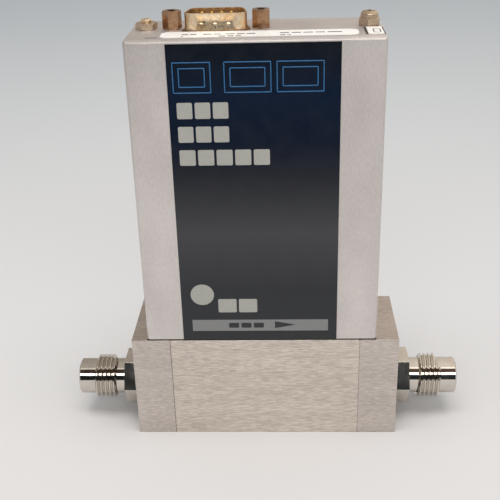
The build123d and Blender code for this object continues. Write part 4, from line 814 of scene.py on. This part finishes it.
def printed(name, tree, blocks, plane, level_mm, corner_mm, line_mm=0.0):
    """Prints blocks, each a (low, high, low, high) rectangle in millimetres, on the front or on the top."""
    points = bpy.data.meshes.new(name)
    points.from_pydata([((a + b) / 2 * MM, (c + d) / 2 * MM, 0.0) for a, b, c, d in blocks], [], [])
    for label, first, last in (("wide", 0, 1), ("tall", 2, 3)):
        sizes = points.attributes.new(label, "FLOAT", "POINT")
        sizes.data.foreach_set("value", [(block[last] - block[first]) * MM for block in blocks])
    values = {"Corner radius": corner_mm * MM, "Ink thickness": INK_THICKNESS * MM}
    if line_mm:
        values["Line width"] = line_mm * MM
    piece = grow(name, tree, values, points)
    stand = Matrix.Rotation(math.radians(90), 4, "X") if plane == "front" else Matrix()
    lift = Vector((0, level_mm, 0)) if plane == "front" else Vector((0, 0, level_mm))
    piece.data.transform(Matrix.Translation(lift * MM) @ stand)
    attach(piece, HOUSING)
    print(name, "blocks:", len(blocks), "faces:", len(piece.data.polygons))
    return piece


# %% Front print
FRONT_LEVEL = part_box("front_label")[0].y / MM
light_ink = ink_paint("light_grey_ink", "#a5a49d", "#9b9a93")
blue_ink = ink_paint("blue_ink", "#2a6d9f", "#1d5585")
bar_ink = ink_paint("grey_ink", "#7f7f7f", "#787878")
dark_ink = ink_paint("dark_ink", "#2b2b2d", "#242426")
BLOCK_GAP = 0.7


def even_blocks(left, right, count, low, high):
    """A row of equal blocks between two places."""
    width = (right - left - BLOCK_GAP * (count - 1)) / count
    starts = [left + k * (width + BLOCK_GAP) for k in range(count)]
    return [(start, start + width, low, high) for start in starts]


word_rows = (even_blocks(-22.8, -8.6, 3, 105.6, 110.2) + even_blocks(-22.8, -8.6, 3, 98.8, 103.4)
             + even_blocks(-22.8, 2.6, 5, 92.0, 96.6))
low_row = even_blocks(-13.8, -2.0, 2, 44.6, 49.2)
outer_boxes = [(-23.4, -13.2, 112.9, 121.2), (-9.4, 3.2, 112.9, 121.2), (4.9, 17.5, 112.9, 121.2)]
INNER_INSET = 1.6
OUTLINE_SUNK = 0.015
inner_boxes = [(a + INNER_INSET, b - INNER_INSET, c + INNER_INSET, d - INNER_INSET)
               for a, b, c, d in outer_boxes]
filled = {ink.name: print_tree(ink.name + "_fill", ink, False) for ink in (light_ink, bar_ink, dark_ink)}
outlined = print_tree("blue_outline", blue_ink, True)
ink_level = FRONT_LEVEL + INK_SUNK
printed("print_word_rows", filled["light_grey_ink"], word_rows, "front", ink_level, 0.45)
printed("print_low_row", filled["light_grey_ink"], low_row, "front", ink_level, 0.45)
printed("print_disc", filled["light_grey_ink"], [(-22.1, -15.0, 47.2, 54.2)], "front", ink_level, 3.5)
printed("print_outlines", outlined, outer_boxes + inner_boxes, "front", ink_level - OUTLINE_SUNK, 0.12,
        0.28)
printed("print_bar", filled["grey_ink"], [(-22.0, 19.5, 38.1, 42.0)], "front", ink_level, 0.02)
bar_row = even_blocks(-10.8, -0.1, 3, 39.2, 40.9)
printed("print_dashes", filled["dark_ink"], bar_row, "front", ink_level - INK_THICKNESS, 0.3)


def plate(name, corners_mm, level_mm, material):
    """A flat printed shape on the front, from its corners as (x, z) in millimetres."""
    count = len(corners_mm)
    near = [(x * MM, (level_mm - INK_THICKNESS) * MM, z * MM) for x, z in corners_mm]
    far = [(x * MM, level_mm * MM, z * MM) for x, z in corners_mm]
    sides = [(i, i + count, (i + 1) % count + count, (i + 1) % count) for i in range(count)]
    mesh = bpy.data.meshes.new(name)
    ends = [tuple(range(count)), tuple(range(2 * count - 1, count - 1, -1))]
    mesh.from_pydata(near + far, [], ends + sides)
    work = bmesh.new()
    work.from_mesh(mesh)
    bmesh.ops.recalc_face_normals(work, faces=work.faces)
    work.to_mesh(mesh)
    work.free()
    mesh.materials.append(material)
    piece = new_object(name, mesh)
    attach(piece, HOUSING)
    return piece


plate("print_flow_arrow", [(3.3, 39.0), (9.6, 40.2), (3.3, 41.4)], ink_level - INK_THICKNESS, dark_ink)


# %% Top marks
def marks(low, high, spans):
    """Marks of one height, from where each one starts and ends."""
    return [(start, end, low, high) for start, end in spans]


TOP_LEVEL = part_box("top_label")[1].z / MM
CORNER_MARK_RAISED = 0.005
top_marks = (
    marks(-8.7, -7.8, [(-20.9, -19.1), (-18.6, -16.8), (-15.1, -12.8), (-12.2, -10.3), (-9.1, -6.5),
                       (-6.0, -3.8), (-3.3, -0.9)])
    + marks(-8.4, -7.5, [(5.7, 8.2), (8.9, 11.4), (12.1, 14.7), (15.4, 17.9), (18.6, 22.5)])
    + marks(-11.4, -10.5, [(-10.7, -8.9), (-8.3, -6.7), (-6.1, -4.7)])
    + [(5.8, 7.2, -11.2, -10.3), (7.7, 8.7, -11.2, -10.5), (-20.9, -20.3, -11.4, -10.5)])
printed("print_top_marks", filled["dark_ink"], top_marks, "top", TOP_LEVEL - INK_SUNK, 0.15)
dark_outline = print_tree("dark_outline", dark_ink, True)
printed("print_corner_mark", dark_outline, [(31.0, 32.8, -9.6, -5.0)], "top", TOP_LEVEL + CORNER_MARK_RAISED, 0.3,
        0.3)
COVER_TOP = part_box("cover")[1].z / MM
printed("cover_top_marks", filled["dark_ink"], [(28.7, 29.3, -11.4, -1.8), (33.65, 33.95, -11.4, -1.8),
                                                (-30.6, -27.3, -11.5, -10.9)],
        "top", COVER_TOP - INK_SUNK, 0.1)

# %% [markdown]
# ## Pieces inside
# The pieces under the cover keep their CAD shapes and get the finish that each one really has.

# %% Inner finishes
inner_finishes = {
    "satin_stainless": end_steel, "polished_stainless": polished_steel, "screw_steel": screw_steel,
    "seal_nickel": smooth_metal("nickel", "#cfc8b8", "#beb6a5", 0.25, 1.0),
    "filter_metal": moulded("sintered_steel", "#8c8780", "#5f5b56", 0.6, 0.15),
    "copper_zinc": copper_zinc, "yellow_zinc": yellow_zinc, "gold_pins": gold_plate,
    "magnetic_steel": smooth_metal("magnetic_stainless", "#b4b2af", "#9d9b98", 0.3, 2.0),
    "copper_wire": copper_wire,
    "bobbin_nylon": moulded("moulded_nylon", "#e4dfcf", "#d8d2c0", 0.5, 0.6),
    "yoke_steel": smooth_metal("zinc_plated_steel", "#b9bdc0", "#9da2a6", 0.35, 4.0),
    "disc_elastomer": moulded("fluoroelastomer", "#26262a", "#1a1a1d", 0.6, 0.3),
    "foam": moulded("insulating_foam", "#d9d2b6", "#c2ba9c", 0.9, 0.5),
    "board_green": moulded("solder_mask", "#1f6a3c", "#14502c", 0.35, 2.0),
    "chip_black": moulded("moulded_epoxy", "#2a2a2c", "#1c1c1e", 0.55, 0.2),
    "capacitor_sleeve": moulded("shrink_sleeve", "#262c5a", "#1c2148", 0.3, 3.0),
    "trim_blue": moulded("blue_thermoset", "#2f5fb0", "#254f96", 0.4, 0.5),
    "plug_white": moulded("white_nylon", "#e8e5da", "#dcd8cb", 0.45, 0.5),
    "flex_film": moulded("polyimide_film", "#b3702a", "#96591c", 0.3, 1.2),
    "lead_red": moulded("wire_insulation", "#a3261f", "#861c17", 0.45, 0.8),
}
for row in frame["record"]["subparts"]:
    node = cad_nodes[row["node"]]
    if not node.hide_render:
        node.data.materials.clear()
        node.data.materials.append(inner_finishes[row["material_slot"]])
        print("finished inside:", row["node"])

# %% Finish
bpy.context.scene.view_settings.view_transform = "Standard"
